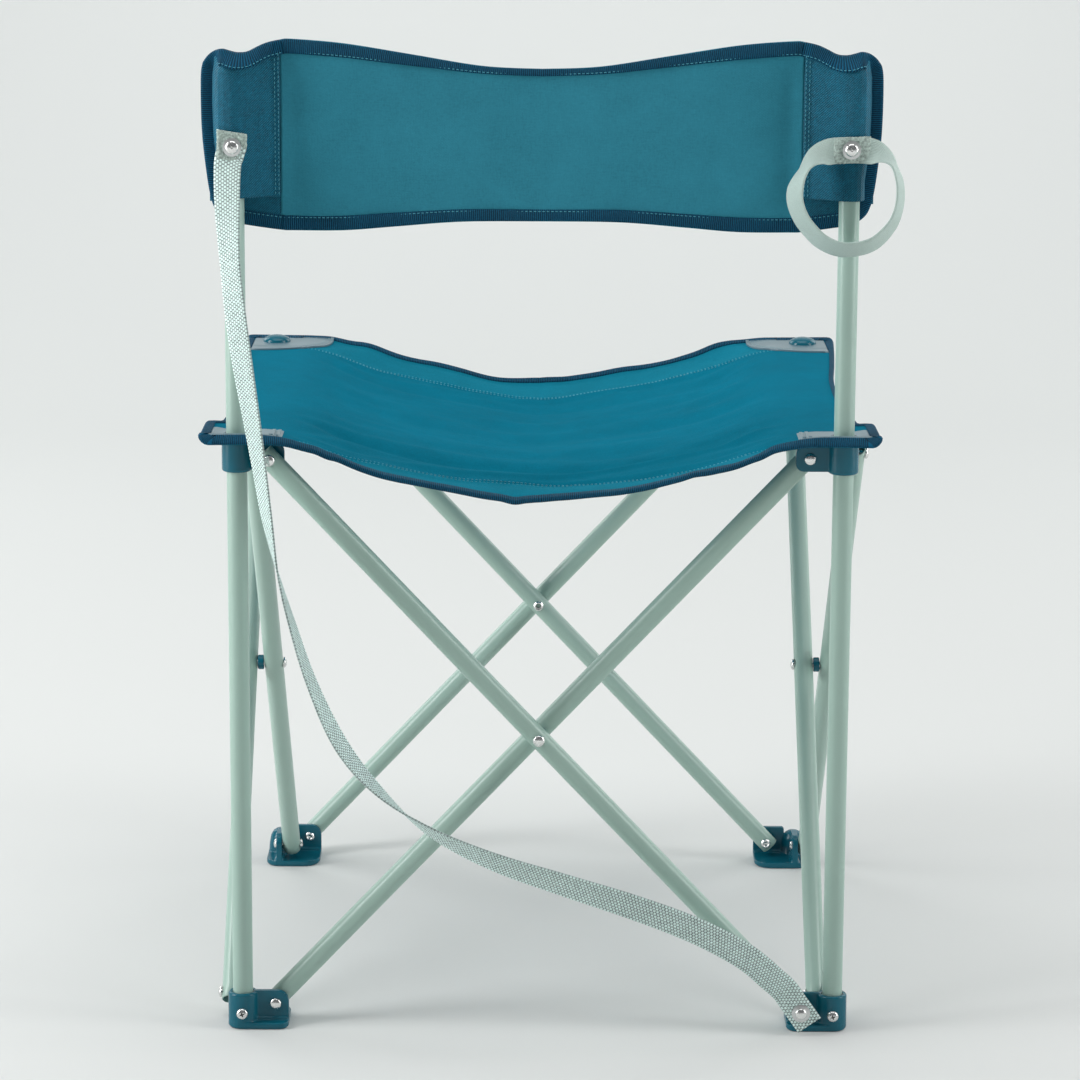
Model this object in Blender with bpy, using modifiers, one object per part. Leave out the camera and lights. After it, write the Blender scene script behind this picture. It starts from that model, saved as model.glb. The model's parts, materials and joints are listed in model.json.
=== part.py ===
"""Folding camp chair: a four-sided steel scissor frame, a hung cloth seat and a low cloth backrest.

Frame: metres, +Z up, the floor is z = 0 and the chair's middle is x = y = 0.
The backrest and the two upright poles are at -Y, and whoever sits on the chair faces +Y.
"""
import math

import bmesh
import bpy
from mathutils import Matrix, Vector

# ---------------------------------------------------------------- driving dimensions
HALF = 0.235                  # from the chair's middle to each corner axis, in X and in Y
TUBE_RADIUS = 0.008
TUBE_WALL = 0.001
TUBE_STEPS = 20               # facets round the tubes, collars and sockets
GAP = 0.0003                  # clearance between pieces that touch
EAR_OFFSET = 0.026            # from a corner axis to the pivot in its ear
EAR_THICK = 0.005
PIVOT_LOW = 0.019             # height of the pivots in the feet
PIVOT_HIGH = 0.463            # height of the pivots in the top corner joints
TUBE_PAST_PIVOT = 0.0065      # tube beyond each end pivot
RIVET_RADIUS = 0.0024
RIVET_HOLE = 0.0027

COLLAR_RADIUS = 0.0117
BORE_RADIUS = 0.0083
COLLAR_BOTTOM = 0.4515
COLLAR_TOP = 0.4750
FOOT_OUTER = 0.0130           # base plate beyond the corner axis, on the outer sides
FOOT_INNER = 0.0370           # base plate beyond the corner axis, towards the ears
BASE_THICK = 0.0055
SOCKET_TOP = 0.0350
SCREW_HEIGHT = 0.0135

SEAT_HALF = 0.2625            # from the middle to the seat's corners
SEAT_LEVEL = 0.4766           # middle of the cloth's thickness at the corners
SEAT_SAG = 0.046
SAG_HALF_SPAN = 0.205         # the cloth is level outside this distance from x = 0
SEAT_HINGE = 0.215            # where each half of the cloth hangs from as the chair folds
SEAT_THICK = 0.0020
SIDE_BOW = 0.016              # how far the seat's sides curve inwards
END_BOW = 0.010               # how far its front and rear edges curve inwards
RING_RADIUS = 0.0135
CAP_RADIUS = 0.0125

POLE_BOTTOM = 0.0042
POLE_TOP = 0.7600
PANEL_THICK = 0.0018
PANEL_Y = -HALF + TUBE_RADIUS + GAP + PANEL_THICK / 2
PANEL_END = 0.2585            # half of the backrest's width
PANEL_SPLIT = 0.1996          # where the sleeves' inner seams are
SLEEVE_BOTTOM = 0.664
SLEEVE_TOP = 0.768
SLEEVE_RADIUS = 0.0097

STRAP_WIDTH = 0.022
STRAP_THICK = 0.0016
WASHER_THICK = 0.0010
FIXING_HEIGHT = 0.7035        # rivets of the strap and of the loop on the sleeves
LOOP_WIDTH = 0.020
LOOP_THICK = 0.0014

SPAN = 2 * (HALF - EAR_OFFSET)
RISE = PIVOT_HIGH - PIVOT_LOW
TUBE_LENGTH = math.hypot(SPAN, RISE) + 2 * TUBE_PAST_PIVOT
LEAN = math.atan2(SPAN, RISE)                         # of a crossed tube, from upright
SIDE_STEP = EAR_THICK / 2 + GAP + TUBE_RADIUS         # tube axis from its ear's middle plane
PIVOT_MID = (PIVOT_LOW + PIVOT_HIGH) / 2

LEFT, RIGHT, REAR, FRONT = -1, 1, -1, 1
CORNERS = {                                           # name: side in X, side in Y
    "rear_left": (LEFT, REAR),
    "rear_right": (RIGHT, REAR),
    "front_right": (RIGHT, FRONT),
    "front_left": (LEFT, FRONT),
}

SIDES = {"rear": (0, REAR), "front": (0, FRONT), "left": (LEFT, 0), "right": (RIGHT, 0)}

# The carry strap hangs from the left sleeve, in front of the rear tubes, to the rear right foot.
STRAP_ROUTE = [
    (-0.2350, -0.2467, 0.7150), (-0.2350, -0.2467, 0.7020), (-0.2352, -0.2467, 0.6900),
    (-0.2352, -0.2515, 0.6600), (-0.2340, -0.2640, 0.6200), (-0.2305, -0.2720, 0.5800),
    (-0.2250, -0.2745, 0.5400), (-0.2180, -0.2760, 0.5000), (-0.2115, -0.2770, 0.4600),
    (-0.2060, -0.2780, 0.4200), (-0.1990, -0.2800, 0.3800), (-0.1890, -0.2840, 0.3400),
    (-0.1750, -0.2890, 0.2950),
    (-0.1530, -0.2930, 0.2480), (-0.1240, -0.2960, 0.2120), (-0.0840, -0.2980, 0.1800),
    (-0.0350, -0.2980, 0.1560), (0.0200, -0.2970, 0.1370), (0.0750, -0.2940, 0.1180),
    (0.1230, -0.2860, 0.0960), (0.1620, -0.2740, 0.0700), (0.1860, -0.2620, 0.0470),
    (0.1960, -0.2560, 0.0365), (0.2020, -0.2550, 0.0285), (0.2055, -0.2549, 0.0240),
    (0.2090, -0.2549, 0.0190), (0.2160, -0.2549, 0.0090),
]
# Which way the strap's width points: degrees turned about its route from facing the rear.
STRAP_TURN = [
    0, 0, 0, 4, 14, 24, 32, 39, 46, 58, 75, 92, 108, 114, 100, 68, 40, 22, 10, 4, 0, 0, 0, 0, 0, 0, 0,
]


# ---------------------------------------------------------------- scene and materials
for old in list(bpy.data.objects):
    bpy.data.objects.remove(old, do_unlink=True)


def collection(name):
    made = bpy.data.collections.new(name)
    bpy.context.scene.collection.children.link(made)
    return made


PARTS = collection("folding_camp_chair")
CUTTERS = collection("cutters")


def material(name, colour, roughness, metallic=0.0):
    made = bpy.data.materials.new(name)
    made.use_nodes = True
    shader = made.node_tree.nodes["Principled BSDF"]
    shader.inputs["Base Color"].default_value = (*colour, 1)
    shader.inputs["Roughness"].default_value = roughness
    shader.inputs["Metallic"].default_value = metallic
    return made


STEEL = material("sage_enamel", (0.33, 0.44, 0.38), 0.35)
PLASTIC = material("petrol_plastic", (0.008, 0.070, 0.120), 0.30)
ZINC = material("bright_zinc", (0.75, 0.75, 0.74), 0.25, 1.0)
CLOTH = material("teal_cloth", (0.010, 0.190, 0.270), 0.85)
PANEL = material("teal_canvas", (0.035, 0.185, 0.240), 0.85)
TWILL = material("petrol_twill", (0.012, 0.095, 0.165), 0.80)
WEBBING = material("sage_webbing", (0.46, 0.55, 0.49), 0.80)
ELASTIC = material("sage_elastic", (0.42, 0.52, 0.46), 0.70)


# ---------------------------------------------------------------- modelling helpers
def add(name, mesh, finish, place=None, group=None):
    """An object made from a mesh, in the parts' collection unless another group is named."""
    made = bpy.data.objects.new(name, mesh)
    (group or PARTS).objects.link(made)
    if finish and not mesh.materials:
        mesh.materials.append(finish)
    if place:
        made.matrix_world = place
    return made


def take_mesh(source):
    """The evaluated mesh of an object that isn't kept, with its loose caps welded on."""
    bpy.context.view_layer.update()
    graph = bpy.context.evaluated_depsgraph_get()
    mesh = bpy.data.meshes.new_from_object(source.evaluated_get(graph))
    bpy.data.objects.remove(source, do_unlink=True)
    work = bmesh.new()
    work.from_mesh(mesh)
    bmesh.ops.remove_doubles(work, verts=work.verts, dist=1e-6)
    bmesh.ops.recalc_face_normals(work, faces=work.faces)
    work.to_mesh(mesh)
    work.free()
    mesh.materials.clear()
    return mesh


def plate_mesh(outlines, thick, rim=0.0):
    """A flat outline in XY, with any holes, thickened about z = 0, its edges rounded by rim."""
    curve = bpy.data.curves.new("plate", "CURVE")
    curve.dimensions = "2D"
    curve.fill_mode = "BOTH"
    curve.extrude = thick / 2 - rim
    curve.bevel_depth = rim
    curve.bevel_resolution = 1
    curve.offset = -rim
    for outline in outlines:
        spline = curve.splines.new("POLY")
        spline.points.add(len(outline) - 1)
        for point, (x, y) in zip(spline.points, outline):
            point.co = (x, y, 0, 1)
        spline.use_cyclic_u = True
    return take_mesh(add("plate", curve, None))


def turned_mesh(profile, steps, closed=False):
    """A profile of (radius, height) points turned about Z, from the top of its outer side down."""
    mesh = bpy.data.meshes.new("turned")
    edges = [(i, i + 1) for i in range(len(profile) - 1)]
    if closed:
        edges.append((len(profile) - 1, 0))
    mesh.from_pydata([(r, 0, z) for r, z in profile], edges, [])
    source = add("turned", mesh, None)
    screw = source.modifiers.new("turn", "SCREW")
    screw.steps = screw.render_steps = steps
    screw.use_merge_vertices = True
    screw.merge_threshold = 1e-5
    made = take_mesh(source)
    shade_round(made)
    return made


def shade_round(mesh):
    mesh.shade_smooth()
    mesh.set_sharp_from_angle(angle=math.radians(40))


def arc(centre, radius, start, end, count):
    """Points along an arc, from one angle to another in degrees."""
    turns = [math.radians(start + (end - start) * i / count) for i in range(count + 1)]
    return [(centre[0] + radius * math.cos(t), centre[1] + radius * math.sin(t)) for t in turns]


def rounded_box(x0, y0, x1, y1, radii, count=3):
    """A rectangle's outline with a radius for each corner, from (x0, y0) round to (x0, y1)."""
    corners = [(x0, y0, 1, 1, 180), (x1, y0, -1, 1, 270), (x1, y1, -1, -1, 0), (x0, y1, 1, -1, 90)]
    outline = []
    for (x, y, dx, dy, start), radius in zip(corners, radii):
        outline += arc((x + dx * radius, y + dy * radius), radius, start, start + 90, count)
    return outline


def upright(mesh, direction):
    """Stands a mesh that was drawn in XY on its Y axis, its X axis towards a level direction."""
    ahead = Vector((*direction, 0))
    turn = Matrix((ahead, (0, 0, 1), ahead.cross((0, 0, 1)))).transposed().to_4x4()
    mesh.transform(turn)
    return mesh


def pin_mesh(radius, start, end, sides=8):
    """A plain cylinder between two points, for cutting."""
    start, end = Vector(start), Vector(end)
    work = bmesh.new()
    turn = (end - start).to_track_quat("Z", "Y").to_matrix().to_4x4()
    place = Matrix.Translation((start + end) / 2) @ turn
    bmesh.ops.create_cone(
        work, cap_ends=True, segments=sides, radius1=radius, radius2=radius,
        depth=(end - start).length, matrix=place,
    )
    mesh = bpy.data.meshes.new("pin")
    work.to_mesh(mesh)
    work.free()
    return mesh


def ride_on(child, parent, parent_place):
    """Parents one object to another, whose place in the world is given, without moving it."""
    child.parent = parent
    child.matrix_parent_inverse = parent_place.inverted()


def combine(target, mesh, operation, place=None):
    """Adds a Boolean with a hidden helper object to a part."""
    helper = add(f"{target.name}_{operation.lower()}_{len(target.modifiers)}", mesh, None, place, CUTTERS)
    helper.hide_render = True
    helper.display_type = "WIRE"
    ride_on(helper, target, target.matrix_world)
    change = target.modifiers.new(operation.lower(), "BOOLEAN")
    change.operation = operation
    change.object = helper


def smooth_route(points, per_span):
    """A Catmull-Rom curve through points of any dimension, each sent back as a tuple."""
    ends = [points[0], *points, points[-1]]
    route = []
    for a, b, c, d in zip(ends, ends[1:], ends[2:], ends[3:]):
        for i in range(per_span):
            t = i / per_span
            weights = (
                -t / 2 + t * t - t ** 3 / 2,
                1 - 2.5 * t * t + 1.5 * t ** 3,
                t / 2 + 2 * t * t - 1.5 * t ** 3,
                -t * t / 2 + t ** 3 / 2,
            )
            route.append(tuple(sum(w * p[k] for w, p in zip(weights, (a, b, c, d))) for k in range(len(a))))
    route.append(tuple(points[-1]))
    return route


def ribbon_mesh(route, across, width, thick, closed=False):
    """A flat band swept along a route, its width along the direction given at each point."""
    route = [Vector(p) for p in route]
    count = len(route)
    work = bmesh.new()
    rings = []
    for i, centre in enumerate(route):
        after = route[(i + 1) % count] if closed else route[min(i + 1, count - 1)]
        before = route[i - 1] if closed or i else route[0]
        ahead = (after - before).normalized()
        side = Vector(across[i])
        side = (side - side.dot(ahead) * ahead).normalized()
        normal = ahead.cross(side)
        rings.append([
            work.verts.new(centre + side * (u * width / 2) + normal * (v * thick / 2))
            for u, v in ((-1, -1), (1, -1), (1, 1), (-1, 1))
        ])
    pairs = list(zip(rings, rings[1:])) + ([(rings[-1], rings[0])] if closed else [])
    for first, second in pairs:
        for k in range(4):
            work.faces.new((first[k], first[(k + 1) % 4], second[(k + 1) % 4], second[k]))
    if not closed:
        work.faces.new(rings[0])
        work.faces.new(reversed(rings[-1]))
    bmesh.ops.recalc_face_normals(work, faces=work.faces)
    mesh = bpy.data.meshes.new("ribbon")
    work.to_mesh(mesh)
    work.free()
    return mesh


# ---------------------------------------------------------------- crossed tubes
def crossed_tube_mesh():
    """A tube along Z about its middle, drilled across along X at both ends and in the middle."""
    outer, inner, end = TUBE_RADIUS, TUBE_RADIUS - TUBE_WALL, TUBE_LENGTH / 2
    profile = [(outer, end), (outer, -end), (inner, -end), (inner, end)]
    tube = add("tube", turned_mesh(profile, TUBE_STEPS, closed=True), None)
    pivot = end - TUBE_PAST_PIVOT
    for height in (-pivot, 0, pivot):
        pin = pin_mesh(RIVET_HOLE, (-2 * outer, 0, height), (2 * outer, 0, height))
        combine(tube, pin, "DIFFERENCE")
    mesh = take_mesh(tube)
    shade_round(mesh)
    return mesh


# name: which way the frame's side faces, the tube's step from the ears' plane along that way,
# and the sign of its lean along the side. A top-left to bottom-right tube leans by -1.
CROSSED_TUBES = {
    "rear_tube_outer": ((0, REAR), SIDE_STEP, -1),
    "rear_tube_inner": ((0, REAR), -SIDE_STEP, 1),
    "front_tube_inner": ((0, FRONT), -SIDE_STEP, -1),
    "front_tube_outer": ((0, FRONT), SIDE_STEP, 1),
    "left_tube_inner": ((LEFT, 0), -SIDE_STEP, -1),
    "left_tube_outer": ((LEFT, 0), SIDE_STEP, 1),
    "right_tube_inner": ((RIGHT, 0), -SIDE_STEP, 1),
    "right_tube_outer": ((RIGHT, 0), SIDE_STEP, -1),
}


def side_frame(facing):
    """The axes of a side of the frame: outwards, and along it towards +X or +Y."""
    outwards = Vector((*facing, 0))
    along = Vector((abs(facing[1]), abs(facing[0]), 0))
    return outwards, along


def make_crossed_tubes():
    mesh = crossed_tube_mesh()
    for name, (facing, step, lean) in CROSSED_TUBES.items():
        outwards, along = side_frame(facing)
        axis = along * (lean * math.sin(LEAN)) + Vector((0, 0, math.cos(LEAN)))
        turn = Matrix((outwards, axis.cross(outwards), axis)).transposed().to_4x4()
        middle = outwards * (HALF + step) + Vector((0, 0, PIVOT_MID))
        add(name, mesh, STEEL, Matrix.Translation(middle) @ turn)


# ---------------------------------------------------------------- rivets and spacers
def rivet_mesh(grip):
    """A rivet along Z: a domed head at the top, a rolled tail at the bottom."""
    top, bottom = grip / 2 + GAP, -grip / 2 - GAP
    profile = [
        (0, top + 0.0026), (0.0032, top + 0.0019), (0.0047, top), (RIVET_RADIUS, top),
        (RIVET_RADIUS, bottom), (0.0041, bottom), (0.0032, bottom - 0.0015), (0, bottom - 0.0010),
    ]
    return turned_mesh(profile, 8)


def make_rivets():
    """Two end rivets for each crossed tube and one centre rivet for each side."""
    reach = SIDE_STEP + TUBE_RADIUS                   # from the ears' plane to a tube's far side
    end_grip = reach + EAR_THICK / 2
    strap_grip = STRAP_THICK + WASHER_THICK + 2 * GAP
    end_mesh, strap_mesh, centre_mesh = map(rivet_mesh, (end_grip, end_grip + strap_grip, 2 * reach))
    for name, (facing, step, lean) in CROSSED_TUBES.items():
        outwards, along = side_frame(facing)
        turn = outwards.to_track_quat("Z", "Y").to_matrix().to_4x4()
        shift = math.copysign((reach - EAR_THICK / 2) / 2, step)
        for end, height in ((-1, PIVOT_LOW), (1, PIVOT_HIGH)):
            place = outwards * (HALF + shift) + along * (end * lean * SPAN / 2) + Vector((0, 0, height))
            label = "lower" if end < 0 else "upper"
            holds_strap = name == "rear_tube_outer" and end < 0
            mesh = strap_mesh if holds_strap else end_mesh
            place += outwards * (strap_grip / 2 if holds_strap else 0)
            rivet_name = f"{name.replace('_tube', '')}_{label}_rivet"
            add(rivet_name, mesh, ZINC, Matrix.Translation(place) @ turn)
    for side, facing in SIDES.items():
        outwards, _ = side_frame(facing)
        place = outwards * HALF + Vector((0, 0, PIVOT_MID))
        head_way = outwards if side in ("rear", "front") else -outwards
        turn = head_way.to_track_quat("Z", "Y").to_matrix().to_4x4()
        add(f"{side}_centre_rivet", centre_mesh, ZINC, Matrix.Translation(place) @ turn)
        half = EAR_THICK / 2
        ring = [(0.0060, half), (0.0060, -half), (RIVET_HOLE, -half), (RIVET_HOLE, half)]
        add(f"{side}_spacer", turned_mesh(ring, 12, closed=True), PLASTIC, Matrix.Translation(place) @ turn)


# ---------------------------------------------------------------- feet and top corner joints
def ear_mesh(outline, direction):
    return upright(plate_mesh([outline], EAR_THICK), direction)


def drill_ears(part, corner, height):
    """Drills both ears of a foot or corner joint for their rivets."""
    side_x, side_y = corner
    x, y = side_x * HALF, side_y * HALF
    in_x = x - side_x * EAR_OFFSET
    in_y = y - side_y * EAR_OFFSET
    combine(part, pin_mesh(RIVET_HOLE, (in_x, y - 0.01, height), (in_x, y + 0.01, height)), "DIFFERENCE")
    combine(part, pin_mesh(RIVET_HOLE, (x - 0.01, in_y, height), (x + 0.01, in_y, height)), "DIFFERENCE")


def make_foot(name, corner):
    """A base plate with a socket for the pole and an ear along each side of the frame."""
    side_x, side_y = corner
    axis = Matrix.Translation((side_x * HALF, side_y * HALF, 0))
    base_outline = rounded_box(-FOOT_OUTER, -FOOT_OUTER, FOOT_INNER, FOOT_INNER, (0.010, 0.007, 0.012, 0.007))
    base = plate_mesh([base_outline], BASE_THICK, 0.0012)
    base.transform(Matrix.Translation((0, 0, BASE_THICK / 2)))
    base.transform(Matrix.Diagonal((-side_x, -side_y, 1, 1)))
    if side_x * side_y < 0:
        base.flip_normals()
    foot = add(f"{name}_foot", base, PLASTIC, axis)
    socket = [
        (0, SOCKET_TOP), (COLLAR_RADIUS - 0.001, SOCKET_TOP), (COLLAR_RADIUS, SOCKET_TOP - 0.001),
        (COLLAR_RADIUS, BASE_THICK / 2), (0, BASE_THICK / 2),
    ]
    combine(foot, turned_mesh(socket, TUBE_STEPS), "UNION", axis)
    ear = rounded_box(0.002, BASE_THICK / 2, EAR_OFFSET + 0.0105, 0.0325, (0.001, 0.002, 0.008, 0.001))
    for direction in ((-side_x, 0), (0, -side_y)):
        combine(foot, ear_mesh(ear, direction), "UNION", axis)
    if side_y == REAR:
        bore = pin_mesh(BORE_RADIUS, (0, 0, POLE_BOTTOM - GAP), (0, 0, SOCKET_TOP + 0.01), TUBE_STEPS)
        combine(foot, bore, "DIFFERENCE", axis)
        screw_hole = pin_mesh(0.0020, (0, -0.020, SCREW_HEIGHT), (0, 0, SCREW_HEIGHT))
        combine(foot, screw_hole, "DIFFERENCE", axis)
    drill_ears(foot, corner, PIVOT_LOW)


def make_corner_joint(name, corner):
    """A collar with an ear along each side of the frame, under a corner of the seat."""
    side_x, side_y = corner
    axis = Matrix.Translation((side_x * HALF, side_y * HALF, 0))
    collar = [
        (BORE_RADIUS, COLLAR_TOP), (COLLAR_RADIUS, COLLAR_TOP), (COLLAR_RADIUS, COLLAR_BOTTOM + 0.0012),
        (COLLAR_RADIUS - 0.0012, COLLAR_BOTTOM), (BORE_RADIUS, COLLAR_BOTTOM),
    ]
    collar_mesh = turned_mesh(collar, TUBE_STEPS, closed=True)
    joint = add(f"{name}_corner_joint", collar_mesh, PLASTIC, axis)
    ear = rounded_box(
        BORE_RADIUS + 0.0010, COLLAR_BOTTOM + 0.0015, EAR_OFFSET + 0.0110, COLLAR_TOP - 0.0022,
        (0.001, 0.006, 0.006, 0.001),
    )
    for direction in ((-side_x, 0), (0, -side_y)):
        combine(joint, ear_mesh(ear, direction), "UNION", axis)
    drill_ears(joint, corner, PIVOT_HIGH)


def make_seat_fixings(name, corner):
    """A flange ring on each rear corner of the seat, a domed plug on each front one."""
    side_x, side_y = corner
    low = SEAT_LEVEL + SEAT_THICK / 2 + GAP
    axis = Matrix.Translation((side_x * HALF, side_y * HALF, 0))
    if side_y == REAR:
        ring = [
            (BORE_RADIUS, low + 0.0032), (0.0105, low + 0.0032), (RING_RADIUS, low + 0.0014),
            (RING_RADIUS, low), (BORE_RADIUS, low),
        ]
        add(f"{name}_flange_ring", turned_mesh(ring, TUBE_STEPS, closed=True), PLASTIC, axis)
        return
    stem = BORE_RADIUS - GAP
    plug = [
        (0, low + 0.0066), (0.0050, low + 0.0059), (0.0090, low + 0.0040), (0.0116, low + 0.0016),
        (CAP_RADIUS, low + 0.0006), (CAP_RADIUS, low), (stem, low), (stem, COLLAR_BOTTOM + 0.002),
        (stem - 0.002, COLLAR_BOTTOM), (0, COLLAR_BOTTOM),
    ]
    add(f"{name}_domed_plug", turned_mesh(plug, TUBE_STEPS), PLASTIC, axis)


# ---------------------------------------------------------------- poles
def make_pole(name, side_x):
    """An upright tube with its screw in the foot and a plug in its top end."""
    outer, inner = TUBE_RADIUS, TUBE_RADIUS - TUBE_WALL
    axis = Matrix.Translation((side_x * HALF, -HALF, 0))
    profile = [(outer, POLE_TOP), (outer, POLE_BOTTOM), (inner, POLE_BOTTOM), (inner, POLE_TOP)]
    pole = add(f"{name}_pole", turned_mesh(profile, TUBE_STEPS, closed=True), STEEL, axis)
    for radius, height in ((0.0020, SCREW_HEIGHT), (0.0023, FIXING_HEIGHT)):
        combine(pole, pin_mesh(radius, (0, -0.020, height), (0, 0, height)), "DIFFERENCE", axis)
    end = [
        (0, POLE_TOP + 0.0040), (0.0045, POLE_TOP + 0.0034), (outer, POLE_TOP + 0.0012),
        (outer, POLE_TOP + GAP), (inner - GAP, POLE_TOP + GAP), (inner - GAP, POLE_TOP - 0.010),
        (0, POLE_TOP - 0.010),
    ]
    add(f"{name}_pole_end_plug", turned_mesh(end, 16), PLASTIC, axis)

    head = -COLLAR_RADIUS - GAP                       # the screw's head bears on the socket
    screw = [
        (0, 0.0024), (0.0028, 0.0021), (0.0042, 0.0010), (0.0045, 0),
        (0.0017, 0), (0.0017, -0.0060), (0, -0.0075),
    ]
    place = axis @ Matrix.Translation((0, head, SCREW_HEIGHT)) @ Matrix.Rotation(math.pi / 2, 4, "X")
    made = add(f"{name}_foot_screw", turned_mesh(screw, 12), ZINC, place)
    for size in ((0.0044, 0.0009, 0.0020), (0.0009, 0.0044, 0.0020)):
        cut = bmesh.new()
        box = Matrix.Translation((0, 0, 0.0022)) @ Matrix.Diagonal((*size, 1))
        bmesh.ops.create_cube(cut, size=1, matrix=box)
        slot = bpy.data.meshes.new("slot")
        cut.to_mesh(slot)
        cut.free()
        combine(made, slot, "DIFFERENCE", place)


# ---------------------------------------------------------------- seat
def seat_height(x):
    """Height of the cloth's middle: level at the sides, hanging as a shallow curve between them."""
    share = min(abs(x) / SAG_HALF_SPAN, 1)
    return SEAT_LEVEL - SEAT_SAG * (1 - share ** 2)


def make_seat_half(name, side_x):
    """One half of the seat: its outline is bowed inwards between the corners."""
    hung_columns, rows = 6, 6
    work = bmesh.new()
    grid = []
    for i in range(hung_columns + 2):
        line = []
        for j in range(rows + 1):
            v = 2 * j / rows - 1
            x = max(GAP, SAG_HALF_SPAN * i / hung_columns)
            if i > hung_columns:
                x = SEAT_HALF - SIDE_BOW * (1 - v * v)
            y = v * (SEAT_HALF - END_BOW * (1 - (x / SEAT_HALF) ** 2))
            line.append(work.verts.new((side_x * x, y, seat_height(x))))
        grid.append(line)
    for a, b in zip(grid, grid[1:]):
        for k in range(rows):
            work.faces.new((a[k], b[k], b[k + 1], a[k + 1]))
    bmesh.ops.recalc_face_normals(work, faces=work.faces)
    mesh = bpy.data.meshes.new(name)
    work.to_mesh(mesh)
    work.free()
    seat = add(name, mesh, CLOTH)
    shell = seat.modifiers.new("cloth", "SOLIDIFY")
    shell.thickness = SEAT_THICK
    shell.offset = 0
    for side_y in (REAR, FRONT):
        x, y, reach = side_x * HALF, side_y * HALF, 4 * SEAT_THICK
        hole = pin_mesh(BORE_RADIUS, (x, y, SEAT_LEVEL - reach), (x, y, SEAT_LEVEL + reach), 16)
        combine(seat, hole, "DIFFERENCE")


# ---------------------------------------------------------------- backrest
# Half of the backrest's outline, as (distance from the middle, height), from the middle outwards.
BACK_TOP = [
    (0.0, 0.7620), (0.045, 0.7640), (0.099, 0.7725), (0.150, 0.7805), (0.190, 0.7838),
    (PANEL_SPLIT, 0.7832),
]
BACK_TOP_END = [
    (PANEL_SPLIT, 0.7832), (0.2240, 0.7745), (0.2400, 0.7775), (0.2520, 0.7760), (PANEL_END, 0.7680),
]
BACK_BOTTOM = [
    (0.0, 0.6455), (0.060, 0.6450), (0.110, 0.6412), (0.150, 0.6380), (0.190, 0.6378),
    (PANEL_SPLIT, 0.6382),
]
BACK_BOTTOM_END = [
    (PANEL_SPLIT, 0.6382), (0.2240, 0.6420), (0.2430, 0.6480), (0.2510, 0.6560), (0.2535, 0.6640),
]


def make_back_panel():
    """The middle of the backrest, between the sleeves' inner seams."""
    edge = PANEL_SPLIT - GAP
    top = [(min(x, edge), z) for x, z in BACK_TOP]
    bottom = [(min(x, edge), z) for x, z in BACK_BOTTOM]
    outline = [(x, z) for x, z in bottom] + top[::-1]
    outline += [(-x, z) for x, z in top[1:]] + [(-x, z) for x, z in bottom[:0:-1]]
    mesh = upright(plate_mesh([outline], PANEL_THICK), (1, 0))
    mesh.transform(Matrix.Translation((0, PANEL_Y, 0)))
    add("backrest_panel", mesh, PANEL)


def make_sleeve(name, side_x):
    """An end of the backrest, with the sleeve that the pole stands in on its rear side."""
    edge = PANEL_SPLIT + GAP
    top = [(max(x, edge), z) for x, z in BACK_TOP_END]
    bottom = [(max(x, edge), z) for x, z in BACK_BOTTOM_END]
    outline = [(side_x * x, z) for x, z in bottom + top[::-1]]
    flat = upright(plate_mesh([outline], PANEL_THICK), (1, 0))
    flat.transform(Matrix.Translation((0, PANEL_Y, 0)))
    sleeve = add(name, flat, TWILL)
    front = PANEL_Y + HALF                            # the panel's middle from the pole's axis
    round_side = arc((0, 0), SLEEVE_RADIUS, 195, 335, 7)
    wrap = [(-0.0165, front)] + round_side + [(0.0274, front - 0.0016), (0.0274, front)]
    wrap = [(-side_x * x, y) for x, y in wrap]
    tube = plate_mesh([wrap], SLEEVE_TOP - SLEEVE_BOTTOM)
    middle = (SLEEVE_TOP + SLEEVE_BOTTOM) / 2
    combine(sleeve, tube, "UNION", Matrix.Translation((side_x * HALF, -HALF, middle)))
    axis = Matrix.Translation((side_x * HALF, -HALF, 0))
    combine(sleeve, pin_mesh(TUBE_RADIUS + GAP, (0, 0, 0.64), (0, 0, 0.80), TUBE_STEPS), "DIFFERENCE", axis)
    hole = pin_mesh(0.0023, (0, -0.020, FIXING_HEIGHT), (0, 0, FIXING_HEIGHT))
    combine(sleeve, hole, "DIFFERENCE", axis)


# ---------------------------------------------------------------- strap and loop
def strap_directions(route, turns):
    """The direction of the strap's width at each point, from its turn about the route."""
    across = []
    for i, point in enumerate(route):
        ahead = (Vector(route[min(i + 1, len(route) - 1)]) - Vector(route[max(i - 1, 0)])).normalized()
        level = ahead.cross((0, -1, 0)).normalized()
        across.append(Matrix.Rotation(math.radians(turns[i]), 3, ahead) @ level)
    return across


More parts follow.
